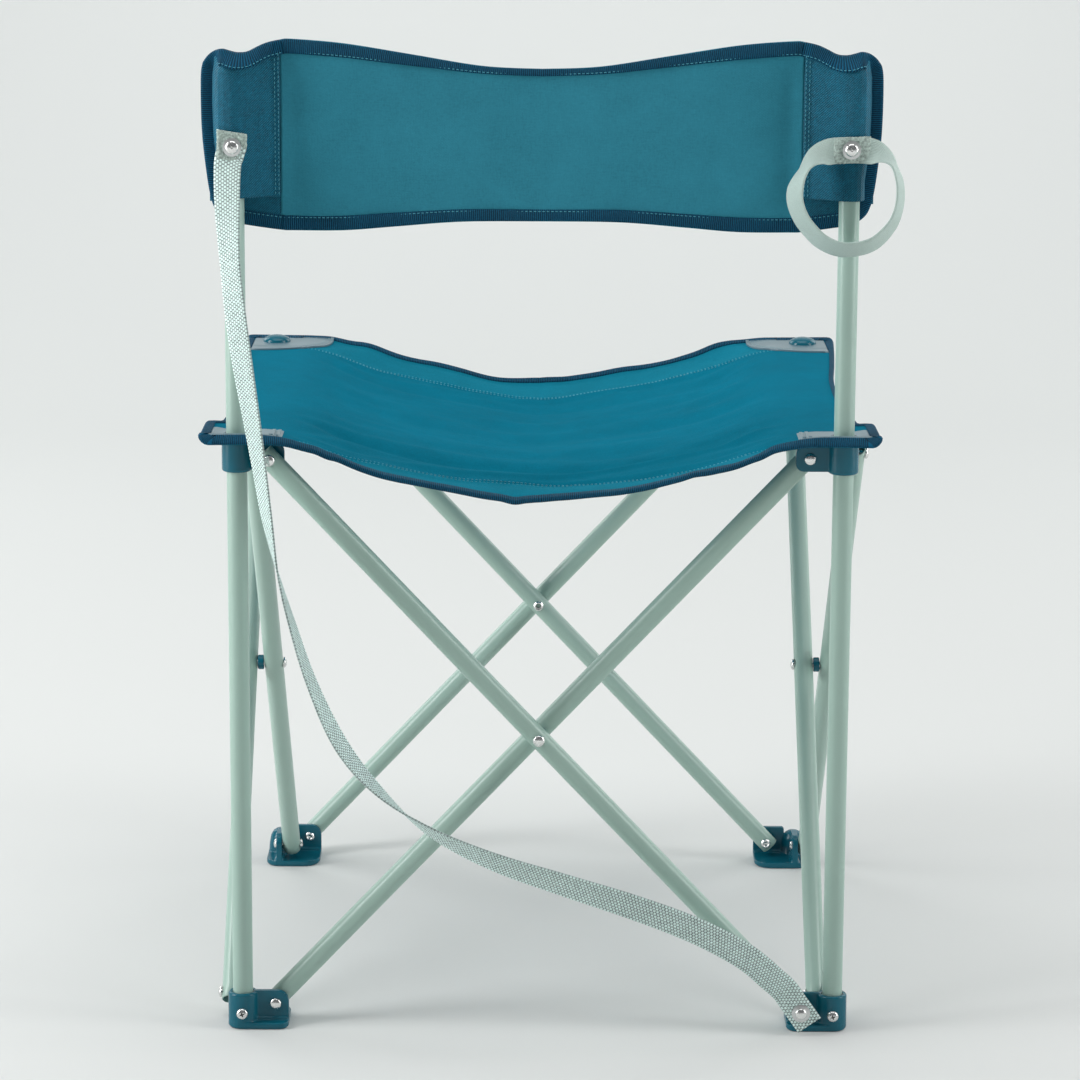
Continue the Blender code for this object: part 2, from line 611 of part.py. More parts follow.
def make_strap():
    """The webbing strap, with a rivet on the left sleeve and a washer on the foot's rivet."""
    route = smooth_route(STRAP_ROUTE, 2)
    turns = [t[0] for t in smooth_route([(t,) for t in STRAP_TURN], 2)]
    band = ribbon_mesh(route, strap_directions(route, turns), STRAP_WIDTH, STRAP_THICK)
    strap = add("carry_strap", band, WEBBING)
    surface = STRAP_ROUTE[0][1] - STRAP_THICK / 2
    pivot_x, foot_y = HALF - EAR_OFFSET, STRAP_ROUTE[-1][1]
    holes = ((-HALF, surface, FIXING_HEIGHT, 0.0023), (pivot_x, foot_y, PIVOT_LOW, RIVET_HOLE))
    for x, y, z, radius in holes:
        combine(strap, pin_mesh(radius, (x, y - 0.01, z), (x, y + 0.01, z), 16), "DIFFERENCE")
    add_fixing("strap_rivet", LEFT, surface - GAP)
    half = WASHER_THICK / 2
    washer = [(0.0072, half), (0.0072, -half), (RIVET_HOLE, -half), (RIVET_HOLE, half)]
    washer_y = foot_y - STRAP_THICK / 2 - GAP - half
    place = Matrix.Translation((pivot_x, washer_y, PIVOT_LOW)) @ Matrix.Rotation(math.pi / 2, 4, "X")
    add("strap_washer", turned_mesh(washer, 16, closed=True), ZINC, place)


def add_fixing(name, side_x, surface):
    """A flanged blind rivet through a sleeve into its pole, its flange at y = surface."""
    depth = surface + HALF - 0.0010                   # from the flange to near the pole's axis
    profile = [
        (0, 0.0028), (0.0030, 0.0024), (0.0050, 0.0011), (0.0052, 0.0006), (0.0070, 0.0006),
        (0.0070, 0), (0.0020, 0), (0.0020, depth), (0, depth),
    ]
    place = Matrix.Translation((side_x * HALF, surface, FIXING_HEIGHT)) @ Matrix.Rotation(math.pi / 2, 4, "X")
    add(name, turned_mesh(profile, 12), ZINC, place)


def make_loop():
    """The elastic loop: a closed band that hangs from its rivet behind the right pole."""
    count, start_y = 28, -HALF - SLEEVE_RADIUS - GAP - LOOP_THICK / 2 - 0.0006
    middle_z, radius = FIXING_HEIGHT - 0.0350, 0.0385
    route, across = [], []
    for i in range(count):
        turn = 2 * math.pi * i / count                # 0 at the rivet, going left round the loop
        lift = (1 - math.cos(turn)) / 2               # 0 at the rivet, 1 at the bottom
        x = HALF - radius * math.sin(turn) * (1 + 0.05 * lift)
        z = middle_z + radius * math.cos(turn) * (0.92 if lift < 0.5 else 1.05)
        y = start_y - 0.0165 * min(1, 1.7 * lift)
        route.append((x, y, z))
        away = Vector((x - HALF, 0, z - middle_z)).normalized()
        tilt = math.radians(90 - 58 * min(1, 1.6 * lift))
        across.append(away * math.sin(tilt) + Vector((0, -1, 0)) * math.cos(tilt))
    loop = add("elastic_loop", ribbon_mesh(route, across, LOOP_WIDTH, LOOP_THICK, closed=True), ELASTIC)
    hole = pin_mesh(0.0023, (HALF, start_y - 0.01, FIXING_HEIGHT), (HALF, start_y + 0.01, FIXING_HEIGHT))
    combine(loop, hole, "DIFFERENCE")
    add_fixing("loop_rivet", RIGHT, start_y - LOOP_THICK / 2 - GAP)


# ---------------------------------------------------------------- linkage
PIVOTS = {}                                           # body: where its pivot is


def link(body, rides_on, pivot, pieces):
    """Hangs the pieces of one moving body from an empty on the pivot it turns about."""
    empty = bpy.data.objects.new(f"{body}_pivot", None)
    PARTS.objects.link(empty)
    empty.location = pivot
    place = Matrix.Translation(pivot)
    if rides_on:
        parent = bpy.data.objects[f"{rides_on}_pivot"]
        ride_on(empty, parent, Matrix.Translation(PIVOTS[rides_on]))
    for piece in pieces.split():
        ride_on(bpy.data.objects[piece], empty, place)
    PIVOTS[body] = pivot


def make_linkage():
    """Folding brings the four corners together and lifts the corner joints up the poles."""
    ear, low, mid, high = HALF - EAR_OFFSET, PIVOT_LOW, PIVOT_MID, PIVOT_HIGH
    link("left_post", None, (-HALF, -HALF, 0), """
        rear_left_foot left_pole left_pole_end_plug left_foot_screw rear_inner_lower_rivet
        left_outer_lower_rivet backrest_sleeve_left backrest_panel carry_strap strap_rivet""")
    link("rear_inner", "left_post", (-ear, -HALF, low), "rear_tube_inner rear_centre_rivet rear_spacer")
    link("rear_outer", "rear_inner", (0, -HALF, mid), "rear_tube_outer")
    link("right_post", "rear_outer", (ear, -HALF, low), """
        rear_right_foot right_pole right_pole_end_plug right_foot_screw rear_outer_lower_rivet
        right_inner_lower_rivet backrest_sleeve_right strap_washer elastic_loop loop_rivet""")
    link("rear_left_joint", "rear_outer", (-ear, -HALF, high), """
        rear_left_corner_joint rear_left_flange_ring rear_outer_upper_rivet left_inner_upper_rivet""")
    link("rear_right_joint", "rear_inner", (ear, -HALF, high), """
        rear_right_corner_joint rear_right_flange_ring rear_inner_upper_rivet right_outer_upper_rivet""")
    link("left_outer", "left_post", (-HALF, -ear, low), "left_tube_outer left_centre_rivet left_spacer")
    link("left_inner", "left_outer", (-HALF, 0, mid), "left_tube_inner")
    link("front_left_base", "left_inner", (-HALF, ear, low), """
        front_left_foot left_inner_lower_rivet front_outer_lower_rivet""")
    link("front_left_joint", "left_outer", (-HALF, ear, high), """
        front_left_corner_joint front_left_domed_plug left_outer_upper_rivet front_inner_upper_rivet""")
    link("right_inner", "right_post", (HALF, -ear, low), "right_tube_inner right_centre_rivet right_spacer")
    link("right_outer", "right_inner", (HALF, 0, mid), "right_tube_outer")
    link("front_right_base", "right_outer", (HALF, ear, low), """
        front_right_foot right_outer_lower_rivet front_inner_lower_rivet""")
    link("front_right_joint", "right_inner", (HALF, ear, high), """
        front_right_corner_joint front_right_domed_plug right_inner_upper_rivet
        front_outer_upper_rivet""")
    link("front_outer", "front_left_base", (-ear, HALF, low), """
        front_tube_outer front_centre_rivet front_spacer""")
    link("front_inner", "front_outer", (0, HALF, mid), "front_tube_inner")
    for name, side_x in (("left", LEFT), ("right", RIGHT)):
        link(f"seat_{name}_half", f"rear_{name}_joint", (side_x * SEAT_HINGE, 0, SEAT_LEVEL), f"seat_{name}")


# ---------------------------------------------------------------- the chair
make_crossed_tubes()
make_rivets()
for corner_name, corner_sides in CORNERS.items():
    make_foot(corner_name, corner_sides)
    make_corner_joint(corner_name, corner_sides)
    make_seat_fixings(corner_name, corner_sides)
for side_name, side in (("left", LEFT), ("right", RIGHT)):
    make_pole(side_name, side)
    make_sleeve(f"backrest_sleeve_{side_name}", side)
    make_seat_half(f"seat_{side_name}", side)
make_back_panel()
make_strap()
make_loop()
make_linkage()
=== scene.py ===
"""Looks of the folding camp chair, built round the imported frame.

Metres, +Z up, the floor is z = 0. The camera stands behind the chair, at -Y.
"""
import json
import math

import bmesh
import bpy
import numpy as np
from mathutils import Matrix, Vector, noise


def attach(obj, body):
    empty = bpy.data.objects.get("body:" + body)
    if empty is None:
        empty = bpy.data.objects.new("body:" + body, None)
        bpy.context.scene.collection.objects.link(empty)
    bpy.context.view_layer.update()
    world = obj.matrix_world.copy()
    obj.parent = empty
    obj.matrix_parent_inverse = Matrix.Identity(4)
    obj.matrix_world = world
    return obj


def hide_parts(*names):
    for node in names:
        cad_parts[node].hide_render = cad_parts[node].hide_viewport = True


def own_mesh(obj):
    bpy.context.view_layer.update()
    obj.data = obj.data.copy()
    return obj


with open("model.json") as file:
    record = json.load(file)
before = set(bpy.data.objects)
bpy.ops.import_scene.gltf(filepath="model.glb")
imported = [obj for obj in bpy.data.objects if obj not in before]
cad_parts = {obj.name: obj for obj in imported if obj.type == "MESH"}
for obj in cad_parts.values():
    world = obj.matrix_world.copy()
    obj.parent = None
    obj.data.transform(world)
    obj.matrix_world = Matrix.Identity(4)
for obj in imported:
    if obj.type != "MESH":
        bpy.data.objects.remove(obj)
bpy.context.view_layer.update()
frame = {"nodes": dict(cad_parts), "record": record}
NODES = frame["nodes"]

# ---------------------------------------------------------------- sizes shared with the frame
HALF = 0.235                  # from the chair's middle to each corner axis
TUBE_RADIUS = 0.008
TUBE_WALL = 0.001
EAR_OFFSET = 0.026
EAR_THICK = 0.005
PIVOT_LOW, PIVOT_HIGH = 0.019, 0.463
PIVOT_MID = (PIVOT_LOW + PIVOT_HIGH) / 2
TUBE_PAST_PIVOT = 0.0065
SIDE_STEP = 0.0108            # tube axis from its ear's middle plane
SPAN = 2 * (HALF - EAR_OFFSET)
RISE = PIVOT_HIGH - PIVOT_LOW
TUBE_LENGTH = math.hypot(SPAN, RISE) + 2 * TUBE_PAST_PIVOT
LEAN = math.atan2(SPAN, RISE)
COLLAR_RADIUS, BORE_RADIUS = 0.0117, 0.0083
COLLAR_BOTTOM, COLLAR_TOP = 0.4515, 0.4750
FOOT_TOP = 0.0292
BASE_THICK = 0.0055
SCREW_HEIGHT = 0.0135
SEAT_HALF = 0.2625
SEAT_LEVEL = 0.4766
END_BOW = 0.010
POLE_BOTTOM, POLE_TOP = 0.0042, 0.7600
PANEL_Y = -0.2258
PANEL_SPLIT = 0.1996
SLEEVE_BOTTOM = 0.664
FIXING_HEIGHT = 0.7035
STRAP_WIDTH, STRAP_THICK = 0.022, 0.0016
LOOP_WIDTH, LOOP_THICK = 0.020, 0.0014
LEFT, RIGHT, REAR, FRONT = -1, 1, -1, 1
SIDES = {"left": LEFT, "right": RIGHT}
FACINGS = {"rear": (0, REAR), "front": (0, FRONT), "left": (LEFT, 0), "right": (RIGHT, 0)}
CORNERS = {
    "rear_left": (LEFT, REAR), "rear_right": (RIGHT, REAR),
    "front_right": (RIGHT, FRONT), "front_left": (LEFT, FRONT),
}

# The strap's middle line from the left sleeve to the rear right foot, and its width's turn from level.
STRAP_ROUTE = [
    (-0.2350, -0.2467, 0.7150), (-0.2356, -0.2467, 0.7020), (-0.2385, -0.2468, 0.6900),
    (-0.2388, -0.2515, 0.6600), (-0.2364, -0.2640, 0.6200), (-0.2320, -0.2720, 0.5800),
    (-0.2266, -0.2745, 0.5400), (-0.2204, -0.2760, 0.5000), (-0.2145, -0.2770, 0.4600),
    (-0.2088, -0.2780, 0.4200), (-0.2012, -0.2800, 0.3800), (-0.1900, -0.2840, 0.3400),
    (-0.1750, -0.2890, 0.2950), (-0.1530, -0.2930, 0.2480), (-0.1240, -0.2960, 0.2120),
    (-0.0840, -0.2980, 0.1800), (-0.0350, -0.2980, 0.1560), (0.0200, -0.2970, 0.1370),
    (0.0750, -0.2940, 0.1180), (0.1230, -0.2860, 0.0970), (0.1620, -0.2740, 0.0725),
    (0.1860, -0.2620, 0.0490), (0.1960, -0.2560, 0.0380), (0.2020, -0.2550, 0.0290),
    (0.2055, -0.2549, 0.0240), (0.2090, -0.2549, 0.0190), (0.2160, -0.2549, 0.0090),
]
STRAP_TURN = [
    0, 5, 16, 26, 42, 40, 42, 50, 58, 66, 84, 96, 103, 110, 96, 60, 38, 24, 14, 7, 2, 0, 0, 0, 0, 0, 0,
]


# ---------------------------------------------------------------- camera
def make_camera():
    data = bpy.data.cameras.new("camera")
    data.lens, data.sensor_width = 126.76, 36
    data.clip_start, data.clip_end = 0.1, 50
    camera = bpy.data.objects.new("camera", data)
    bpy.context.scene.collection.objects.link(camera)
    heading, tilt, roll = -0.00214, math.radians(78.005), 0.00515
    turn = Matrix.Rotation(heading, 4, "Z") @ Matrix.Rotation(tilt, 4, "X")
    place = Matrix.Translation((-0.0061, -3.1291, 1.0125))
    camera.matrix_world = place @ turn @ Matrix.Rotation(roll, 4, "Z")
    bpy.context.scene.camera = camera


make_camera()


# ---------------------------------------------------------------- materials
class Shader:
    """A principled material, with helpers that add its nodes and wire them."""

    def __init__(self, name, colour, roughness, metallic=0.0, specular=0.5, **sockets):
        self.material = bpy.data.materials.new(name)
        self.material.use_nodes = True
        self.tree = self.material.node_tree
        self.bsdf = self.tree.nodes["Principled BSDF"]
        self.colour = colour
        self.fill(self.bsdf, Base_Color=(*colour, 1), Roughness=roughness, Metallic=metallic,
                  Specular_IOR_Level=specular, **sockets)
        self.vector, self.axes = self.coordinates("Object")

    def put(self, value, socket):
        """Gives a socket a value, or a link from another node's output."""
        if isinstance(value, bpy.types.NodeSocket):
            self.tree.links.new(value, socket)
        else:
            socket.default_value = value

    def fill(self, node, **inputs):
        for name, value in inputs.items():
            self.put(value, node.inputs[name.replace("_", " ")])
        return node

    def node(self, kind, **inputs):
        return self.fill(self.tree.nodes.new(f"ShaderNode{kind}"), **inputs)

    def math(self, operation, *values):
        made = self.node("Math")
        made.operation = operation
        for value, socket in zip((*values, 0.0, 0.0), made.inputs):
            self.put(value, socket)
        return made.outputs[0]

    def coordinates(self, kind):
        """Texture coordinates as one vector and as three axes."""
        out = self.node("TexCoord").outputs[kind]
        return out, self.node("SeparateXYZ", Vector=out).outputs

    def wave(self, position, pitch):
        """A sine of a position in metres, from -1 to 1, with a given pitch."""
        return self.math("SINE", self.math("MULTIPLY_ADD", position, 2 * math.pi / pitch, 0.0))

    def noise(self, scale, detail, stretch=None):
        vector = self.vector
        if stretch:
            vector = self.node("Mapping", Scale=stretch, Vector=vector).outputs[0]
        return self.node("TexNoise", Scale=scale, Detail=detail, Vector=vector).outputs["Fac"]

    def tint(self, amounts):
        """Base colour times 1 + the sum of weight * (value - middle)."""
        total = 1.0
        for value, weight, middle in amounts:
            change = self.math("MULTIPLY", self.math("SUBTRACT", value, middle), weight)
            total = self.math("ADD", total, change)
        mix = self.node("VectorMath")
        mix.operation = "SCALE"
        mix.inputs[0].default_value = self.colour
        self.fill(mix, Scale=total)
        self.fill(self.bsdf, Base_Color=mix.outputs[0])

    def bump(self, height, distance, strength):
        """Adds a bump on top of the earlier ones."""
        made = self.node("Bump", Distance=distance, Strength=strength, Height=height)
        earlier = self.bsdf.inputs["Normal"].links
        if earlier:
            self.fill(made, Normal=earlier[0].from_socket)
        self.fill(self.bsdf, Normal=made.outputs[0])

    def roughen(self, value, low, high):
        made = self.node("MapRange", To_Min=low, To_Max=high, Value=value)
        self.fill(self.bsdf, Roughness=made.outputs[0])


def grained(name, colour, roughness, grains, rough=None, **sockets):
    """A material varied by noise. A grain is (scale, detail, share in tint, bump distance and strength)."""
    s = Shader(name, colour, roughness, **sockets)
    found = {(scale, detail): s.noise(scale, detail) for scale, detail, *_ in grains}
    s.tint([(found[scale, detail], weight, 0.5) for scale, detail, weight, *_ in grains if weight])
    if rough:
        scale, detail, low, high = rough
        s.roughen(found.get((scale, detail)) or s.noise(scale, detail), low, high)
    for scale, detail, _, *bump in grains:
        if bump:
            s.bump(found[scale, detail], *bump)
    return s.material


def zinc(name, colour, roughness):
    return grained(name, colour, roughness, [(160, 2, 0.25), (700, 3, 0, 0.00005, 0.5)],
                   rough=(700, 3, roughness - 0.06, roughness + 0.16), metallic=1.0)


def thread(name, colour):
    return grained(name, colour, 0.6, [(2500, 2, 0.5), (3000, 2, 0, 0.00006, 0.6)], specular=0.3)


def cloth(name, colour, across, specular, contrast, rough, twill=False):
    """Woven cloth whose threads run along X and another axis, or in slanted ribs for a twill."""
    sheen = 0.10 if twill else 0.0
    s = Shader(name, colour, rough, specular=specular, Sheen_Weight=sheen, Sheen_Roughness=0.45)
    a, b = s.axes[0], s.axes[across]
    if twill:
        pitch = 0.0019
        ribs, counter = s.wave(s.math("SUBTRACT", a, b), pitch), s.wave(s.math("ADD", a, b), pitch * 0.6)
        weave = s.math("ADD", ribs, s.math("MULTIPLY", counter, 0.4))
    else:
        pitch = 0.0011
        weave = s.math("MULTIPLY", s.wave(a, pitch), s.wave(b, pitch * 1.15))
    squeeze = 0.16                # long streaks in the noise look like single threads
    thread_a = s.noise(1100, 2, (1.0, squeeze, squeeze))
    thread_b = s.noise(1100, 2, tuple(1.0 if axis == across else squeeze for axis in range(3)))
    broad = s.noise(14, 4)
    s.tint([
        (weave, contrast * (1.1 if twill else 0.5), 0.0), (thread_a, contrast * 1.8, 0.5),
        (thread_b, contrast * 1.8, 0.5), (broad, 0.30, 0.5), (s.noise(60, 3), contrast * 1.5, 0.5),
        (s.noise(700, 3), contrast * 2.2, 0.5),
    ])
    s.roughen(broad, rough - 0.08, rough + 0.08)
    s.bump(weave, 0.00018 if twill else 0.00012, 0.8)
    s.bump(thread_a, 0.0001, 0.5)
    return s.material


def grosgrain(name, colour):
    """Ribbed binding: ribs across a band whose UV runs along it, in metres."""
    s = Shader(name, colour, 0.6, specular=0.1)
    _, uv = s.coordinates("UV")
    rib, fine = s.wave(uv[0], 0.0015), s.wave(uv[1], 0.0008)
    s.tint([(rib, 0.65, 0.0), (fine, 0.06, 0.0), (s.noise(1500, 2), 1.3, 0.5), (s.noise(30, 3), 0.5, 0.5)])
    s.bump(rib, 0.0003, 0.9)
    s.bump(s.math("MULTIPLY", fine, rib), 0.00008, 0.6)
    return s.material


def webbing():
    """Coarse flat webbing: staggered floats along the band, with painted shade in the gaps between them."""
    s = Shader("sage_webbing", (0.60, 0.74, 0.71), 0.72, specular=0.15)
    _, uv = s.coordinates("UV")
    row_pitch, column_pitch = 0.0028, 0.0044
    stagger = s.math("MULTIPLY", s.math("SIGN", s.wave(uv[1], column_pitch)), math.pi / 2)
    along = s.math("MULTIPLY", uv[0], 2 * math.pi / row_pitch)
    row = s.math("SINE", s.math("ADD", along, stagger))
    groove = s.math("POWER", s.math("ABSOLUTE", s.wave(uv[1], column_pitch)), 0.5)
    gap = s.math("POWER", s.math("MAXIMUM", s.math("MULTIPLY", row, -1.0), 0.0), 1.1)
    height = s.math("MULTIPLY", groove, s.math("SUBTRACT", 1.0, gap))
    # the tint darkens the band where its floats are low: painted shade in the gaps and grooves
    s.tint([
        (height, 0.95, 0.64), (s.noise(1500, 2), 0.5, 0.5),
        (s.noise(25, 3), 0.2, 0.5), (s.noise(320, 2), 0.6, 0.5),
    ])
    s.bump(height, 0.0005, 1.0)
    return s.material


def elastic():
    """Fine ribs along the band."""
    s = Shader("sage_elastic", (0.44, 0.55, 0.51), 0.6, specular=0.25, Sheen_Weight=0.1, Sheen_Roughness=0.4)
    _, uv = s.coordinates("UV")
    cross, rib = s.wave(uv[0], 0.0009), s.wave(uv[1], 0.0012)
    s.tint([(rib, 0.07, 0.0), (cross, 0.03, 0.0), (s.noise(40, 3), 0.22, 0.5), (s.noise(1300, 2), 0.3, 0.5)])
    s.bump(rib, 0.00014, 0.8)
    s.bump(cross, 0.00006, 0.6)
    return s.material


ENAMEL = grained(
    "sage_enamel", (0.325, 0.465, 0.405), 0.34, [(9, 2, 0.05), (1400, 2, 0.05, 0.00004, 0.5)],
    rough=(40, 3, 0.32, 0.44), Coat_Weight=0.25, Coat_Roughness=0.16,
)
PLASTIC = grained(
    "petrol_plastic", (0.0032, 0.105, 0.152), 0.20, [(2600, 2, 0, 0.00002, 0.4), (60, 3, 0.22, 0.0003, 0.2)],
    rough=(220, 4, 0.14, 0.28), specular=0.32,
)
VINYL = grained(
    "blue_grey_vinyl", (0.125, 0.200, 0.235), 0.32, [(45, 3, 0.3), (900, 3, 0.25, 0.0001, 0.5)],
    rough=(900, 3, 0.26, 0.42),
)
FUSED = grained(                                      # webbing melted and pressed: threads in all directions
    "fused_webbing", (0.40, 0.49, 0.45), 0.7, [(520, 4, 2.0, 0.0007, 1.0), (1500, 2, 0.8)], specular=0.25,
)
ZINC = zinc("bright_zinc", (0.78, 0.78, 0.77), 0.2)
DULL_ZINC = zinc("dull_zinc", (0.66, 0.67, 0.67), 0.34)
# the near-black zinc paints shade into the screws' cross recesses
RECESS_SHADE_ZINC = zinc("zinc_recess_painted_shade", (0.16, 0.16, 0.16), 0.4)
# the hems' paler copy of the seat cloth is a painted highlight
SEAT_HEM_HIGHLIGHT = cloth("teal_hem_painted_highlight", (0.0075, 0.180, 0.265), 1, specular=0.02, contrast=0.10, rough=0.9)
SEAT_CLOTH = cloth("teal_cloth", (0.0020, 0.150, 0.232), 1, specular=0.02, contrast=0.10, rough=0.9)
CANVAS = cloth("teal_canvas", (0.034, 0.228, 0.312), 2, specular=0.05, contrast=0.12, rough=0.85)
TWILL = cloth("petrol_twill", (0.0040, 0.108, 0.176), 2, specular=0.16, contrast=0.34, rough=0.42, twill=True)
BINDING = grosgrain("petrol_grosgrain", (0.0022, 0.060, 0.116))
WEBBING, ELASTIC = webbing(), elastic()
THREAD, PALE_THREAD = thread("teal_thread", (0.075, 0.33, 0.42)), thread("pale_thread", (0.30, 0.43, 0.47))


# ---------------------------------------------------------------- mesh helpers
def paint(mesh, *materials):
    mesh.materials.clear()
    for material in materials:
        mesh.materials.append(material)


def add(name, mesh, material, place=None, smooth=True):
    """Puts a mesh in the scene as a piece. Meshes with sharp edges of their own aren't smoothed again."""
    if smooth:
        mesh.shade_smooth()
    paint(mesh, material)
    made = bpy.data.objects.new(name, mesh)
    bpy.context.scene.collection.objects.link(made)
    if place is not None:
        made.matrix_world = place
    return made


def settle(piece):
    """Applies a piece's modifiers to its mesh."""
    bpy.context.view_layer.update()
    graph = bpy.context.evaluated_depsgraph_get()
    mesh = bpy.data.meshes.new_from_object(piece.evaluated_get(graph))
    piece.modifiers.clear()
    piece.data = mesh
    return piece


def thicken(piece, thickness, offset=0):
    """Gives a sheet its thickness."""
    shell = piece.modifiers.new("thickness", "SOLIDIFY")
    shell.thickness, shell.offset = thickness, offset
    return settle(piece)


def surface_mesh(name, points, uv=None, close_across=False):
    """A quad surface through an array of points (rows, columns, 3), with optional UVs in metres."""
    points = np.asarray(points, float)
    rows, columns = points.shape[:2]
    faces = []
    for i in range(rows - 1):
        for j in range(columns if close_across else columns - 1):
            k = (j + 1) % columns
            faces.append((i * columns + j, (i + 1) * columns + j, (i + 1) * columns + k, i * columns + k))
    mesh = bpy.data.meshes.new(name)
    mesh.from_pydata(points.reshape(-1, 3).tolist(), [], faces)
    if uv is not None:
        uv = np.asarray(uv, float).reshape(-1, 2)
        layer = mesh.uv_layers.new(name="band")
        loops = np.empty(len(mesh.loops), np.int32)
        mesh.loops.foreach_get("vertex_index", loops)
        layer.data.foreach_set("uv", uv[loops].reshape(-1))
    return mesh


def tidied(mesh, weld=False, close=True):
    """Welds a mesh's seams and closes its open ends where asked, and points its faces outwards."""
    work = bmesh.new()
    work.from_mesh(mesh)
    if weld:
        bmesh.ops.remove_doubles(work, verts=work.verts, dist=1e-6)
    if close:
        bmesh.ops.holes_fill(work, edges=[e for e in work.edges if e.is_boundary], sides=0)
    bmesh.ops.recalc_face_normals(work, faces=work.faces)
    work.to_mesh(mesh)
    work.free()
    return mesh


def smoothstep(low, high, x):
    """Rises smoothly from 0 at low to 1 at high."""
    t = min(1.0, max(0.0, (x - low) / (high - low)))
    return t * t * (3 - 2 * t)


def curve_at(table, x):
    return float(np.interp(x, [p[0] for p in table], [p[1] for p in table]))


def arc_lengths(points):
    steps = np.linalg.norm(np.diff(np.asarray(points, float), axis=0), axis=1)
    return np.concatenate(([0], np.cumsum(steps)))


def resample(points, count):
    """Evenly spaced points along a smooth curve through the given ones."""
    points = np.asarray(points, float)
    fine = np.array(smooth_route(points, 8))
    at = arc_lengths(fine)
    wanted = np.linspace(0, at[-1], count)
    return np.stack([np.interp(wanted, at, fine[:, k]) for k in range(fine.shape[1])], axis=1)


def smooth_route(points, per_span):
    """A Catmull-Rom curve through points of any dimension."""
    ends = [points[0], *points, points[-1]]
    route = []
    for a, b, c, d in zip(ends, ends[1:], ends[2:], ends[3:]):
        for i in range(per_span):
            t = i / per_span
            weights = (
                -t / 2 + t * t - t ** 3 / 2, 1 - 2.5 * t * t + 1.5 * t ** 3,
                t / 2 + 2 * t * t - 1.5 * t ** 3, -t * t / 2 + t ** 3 / 2,
            )
            route.append(tuple(sum(w * p[k] for w, p in zip(weights, (a, b, c, d))) for k in range(len(a))))
    route.append(tuple(points[-1]))
    return route


def lathe(name, profile, steps=40, sharp=35):
    """A closed or open profile of (radius, height) turned about Z."""
    turns = np.linspace(0, 2 * math.pi, steps, endpoint=False)
    points = [[(r * math.cos(t), r * math.sin(t), z) for t in turns] for r, z in profile]
    mesh = tidied(surface_mesh(name, points, close_across=True), weld=True)
    mesh.shade_smooth()
    mesh.set_sharp_from_angle(angle=math.radians(sharp))
    return mesh


def ring_section(width, thick, across=6):
    """A flat band's section as (along the width, along the normal), with rounded sides."""
    half, h = width / 2, thick / 2
    top = [(half * (2 * i / across - 1) * 0.965, h) for i in range(across + 1)]
    shoulder, drop = half * 0.988, h * 0.7
    right = [(shoulder, drop), (half, 0.0), (shoulder, -drop)]
    bottom = [(x, -z) for x, z in reversed(top)]
    return [(-half, 0.0), (-shoulder, drop)] + top + right + bottom + [(-shoulder, -drop)]


def heading(route, i):
    """The direction of a route at one of its points."""
    return (Vector(route[min(i + 1, len(route) - 1)]) - Vector(route[max(i - 1, 0)])).normalized()


def band_mesh(name, route, across, width, thick):
    """A flat band swept along a route: its UV runs along it and across it, in metres."""
    route = [Vector(p) for p in route]
    section = ring_section(width, thick)
    at = arc_lengths(route)
    points, uv = [], []
    for i, centre in enumerate(route):
        ahead = heading(route, i)
        side = Vector(across[i])
        side = (side - side.dot(ahead) * ahead).normalized()
        normal = ahead.cross(side)
        points.append([tuple(centre + side * u + normal * v) for u, v in section])
        uv.append([(at[i], u) for u, v in section])
    return tidied(surface_mesh(name, points, uv, close_across=True))


def stitches(name, points, normals, material, length=0.0022, pitch=0.0032, radius=0.00032):
    """A row of separate stitches on a surface along a line of points, with one normal or one for each."""
    points = np.asarray(points, float)
    normals = np.broadcast_to(np.asarray(normals, float), points.shape)
    at = arc_lengths(points)
    count = max(1, int(at[-1] / pitch))

    def found(values, s):
        return np.array([np.interp(s, at, values[:, k]) for k in range(3)])

    verts, faces = [], []
    steps, sides, lift = (-1.0, -0.8, 0.0, 0.8, 1.0), 6, 0.00015
    for i in range(count):
        middle = (i + 0.5) * at[-1] / count
        p, n = found(points, middle), found(normals, middle)
        ahead = found(points, min(at[-1], middle + 0.001)) - found(points, max(0, middle - 0.001))
        ahead /= np.linalg.norm(ahead) or 1
        n = n - n.dot(ahead) * ahead
        n /= np.linalg.norm(n) or 1
        side = np.cross(ahead, n)
        base = len(verts)
        for t in steps:
            size = radius * math.sqrt(max(0.02, 1 - t * t * 0.97))
            centre = p + ahead * (t * length / 2) + n * (lift - radius * 1.3 * t * t)
            for k in range(sides):
                turn = 2 * math.pi * k / sides
                verts.append(centre + side * (size * math.cos(turn)) + n * (size * math.sin(turn)))
        for row in range(len(steps) - 1):
            for k in range(sides):
                a, b = base + row * sides + k, base + row * sides + (k + 1) % sides
                faces.append((a, b, b + sides, a + sides))
        faces.append(tuple(base + k for k in reversed(range(sides))))
        faces.append(tuple(base + (len(steps) - 1) * sides + k for k in range(sides)))
    mesh = bpy.data.meshes.new(name)
    mesh.from_pydata([tuple(v) for v in verts], [], faces)
    return add(name, mesh, material)


def dress(piece, body, slot, *nodes, squash=None):
    """Puts a piece on its body and hides the CAD nodes it stands for; its slot is not used."""
    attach(piece, body)
    if nodes:
        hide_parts(*nodes)
    if squash:
        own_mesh(piece)
    return piece


BODY_OF = {node: body for body, nodes in frame["record"]["behaviour"]["bodies"].items() for node in nodes}
FACING_REAR = Matrix.Rotation(math.pi / 2, 4, "X")        # turns a part's +Z to -Y


def look(node, mesh, material, slot, place, smooth=False):
    """Adds a piece in place of one CAD node, on that node's body."""
    return dress(add(f"{node}_look", mesh, material, place, smooth), BODY_OF[node], slot, node)


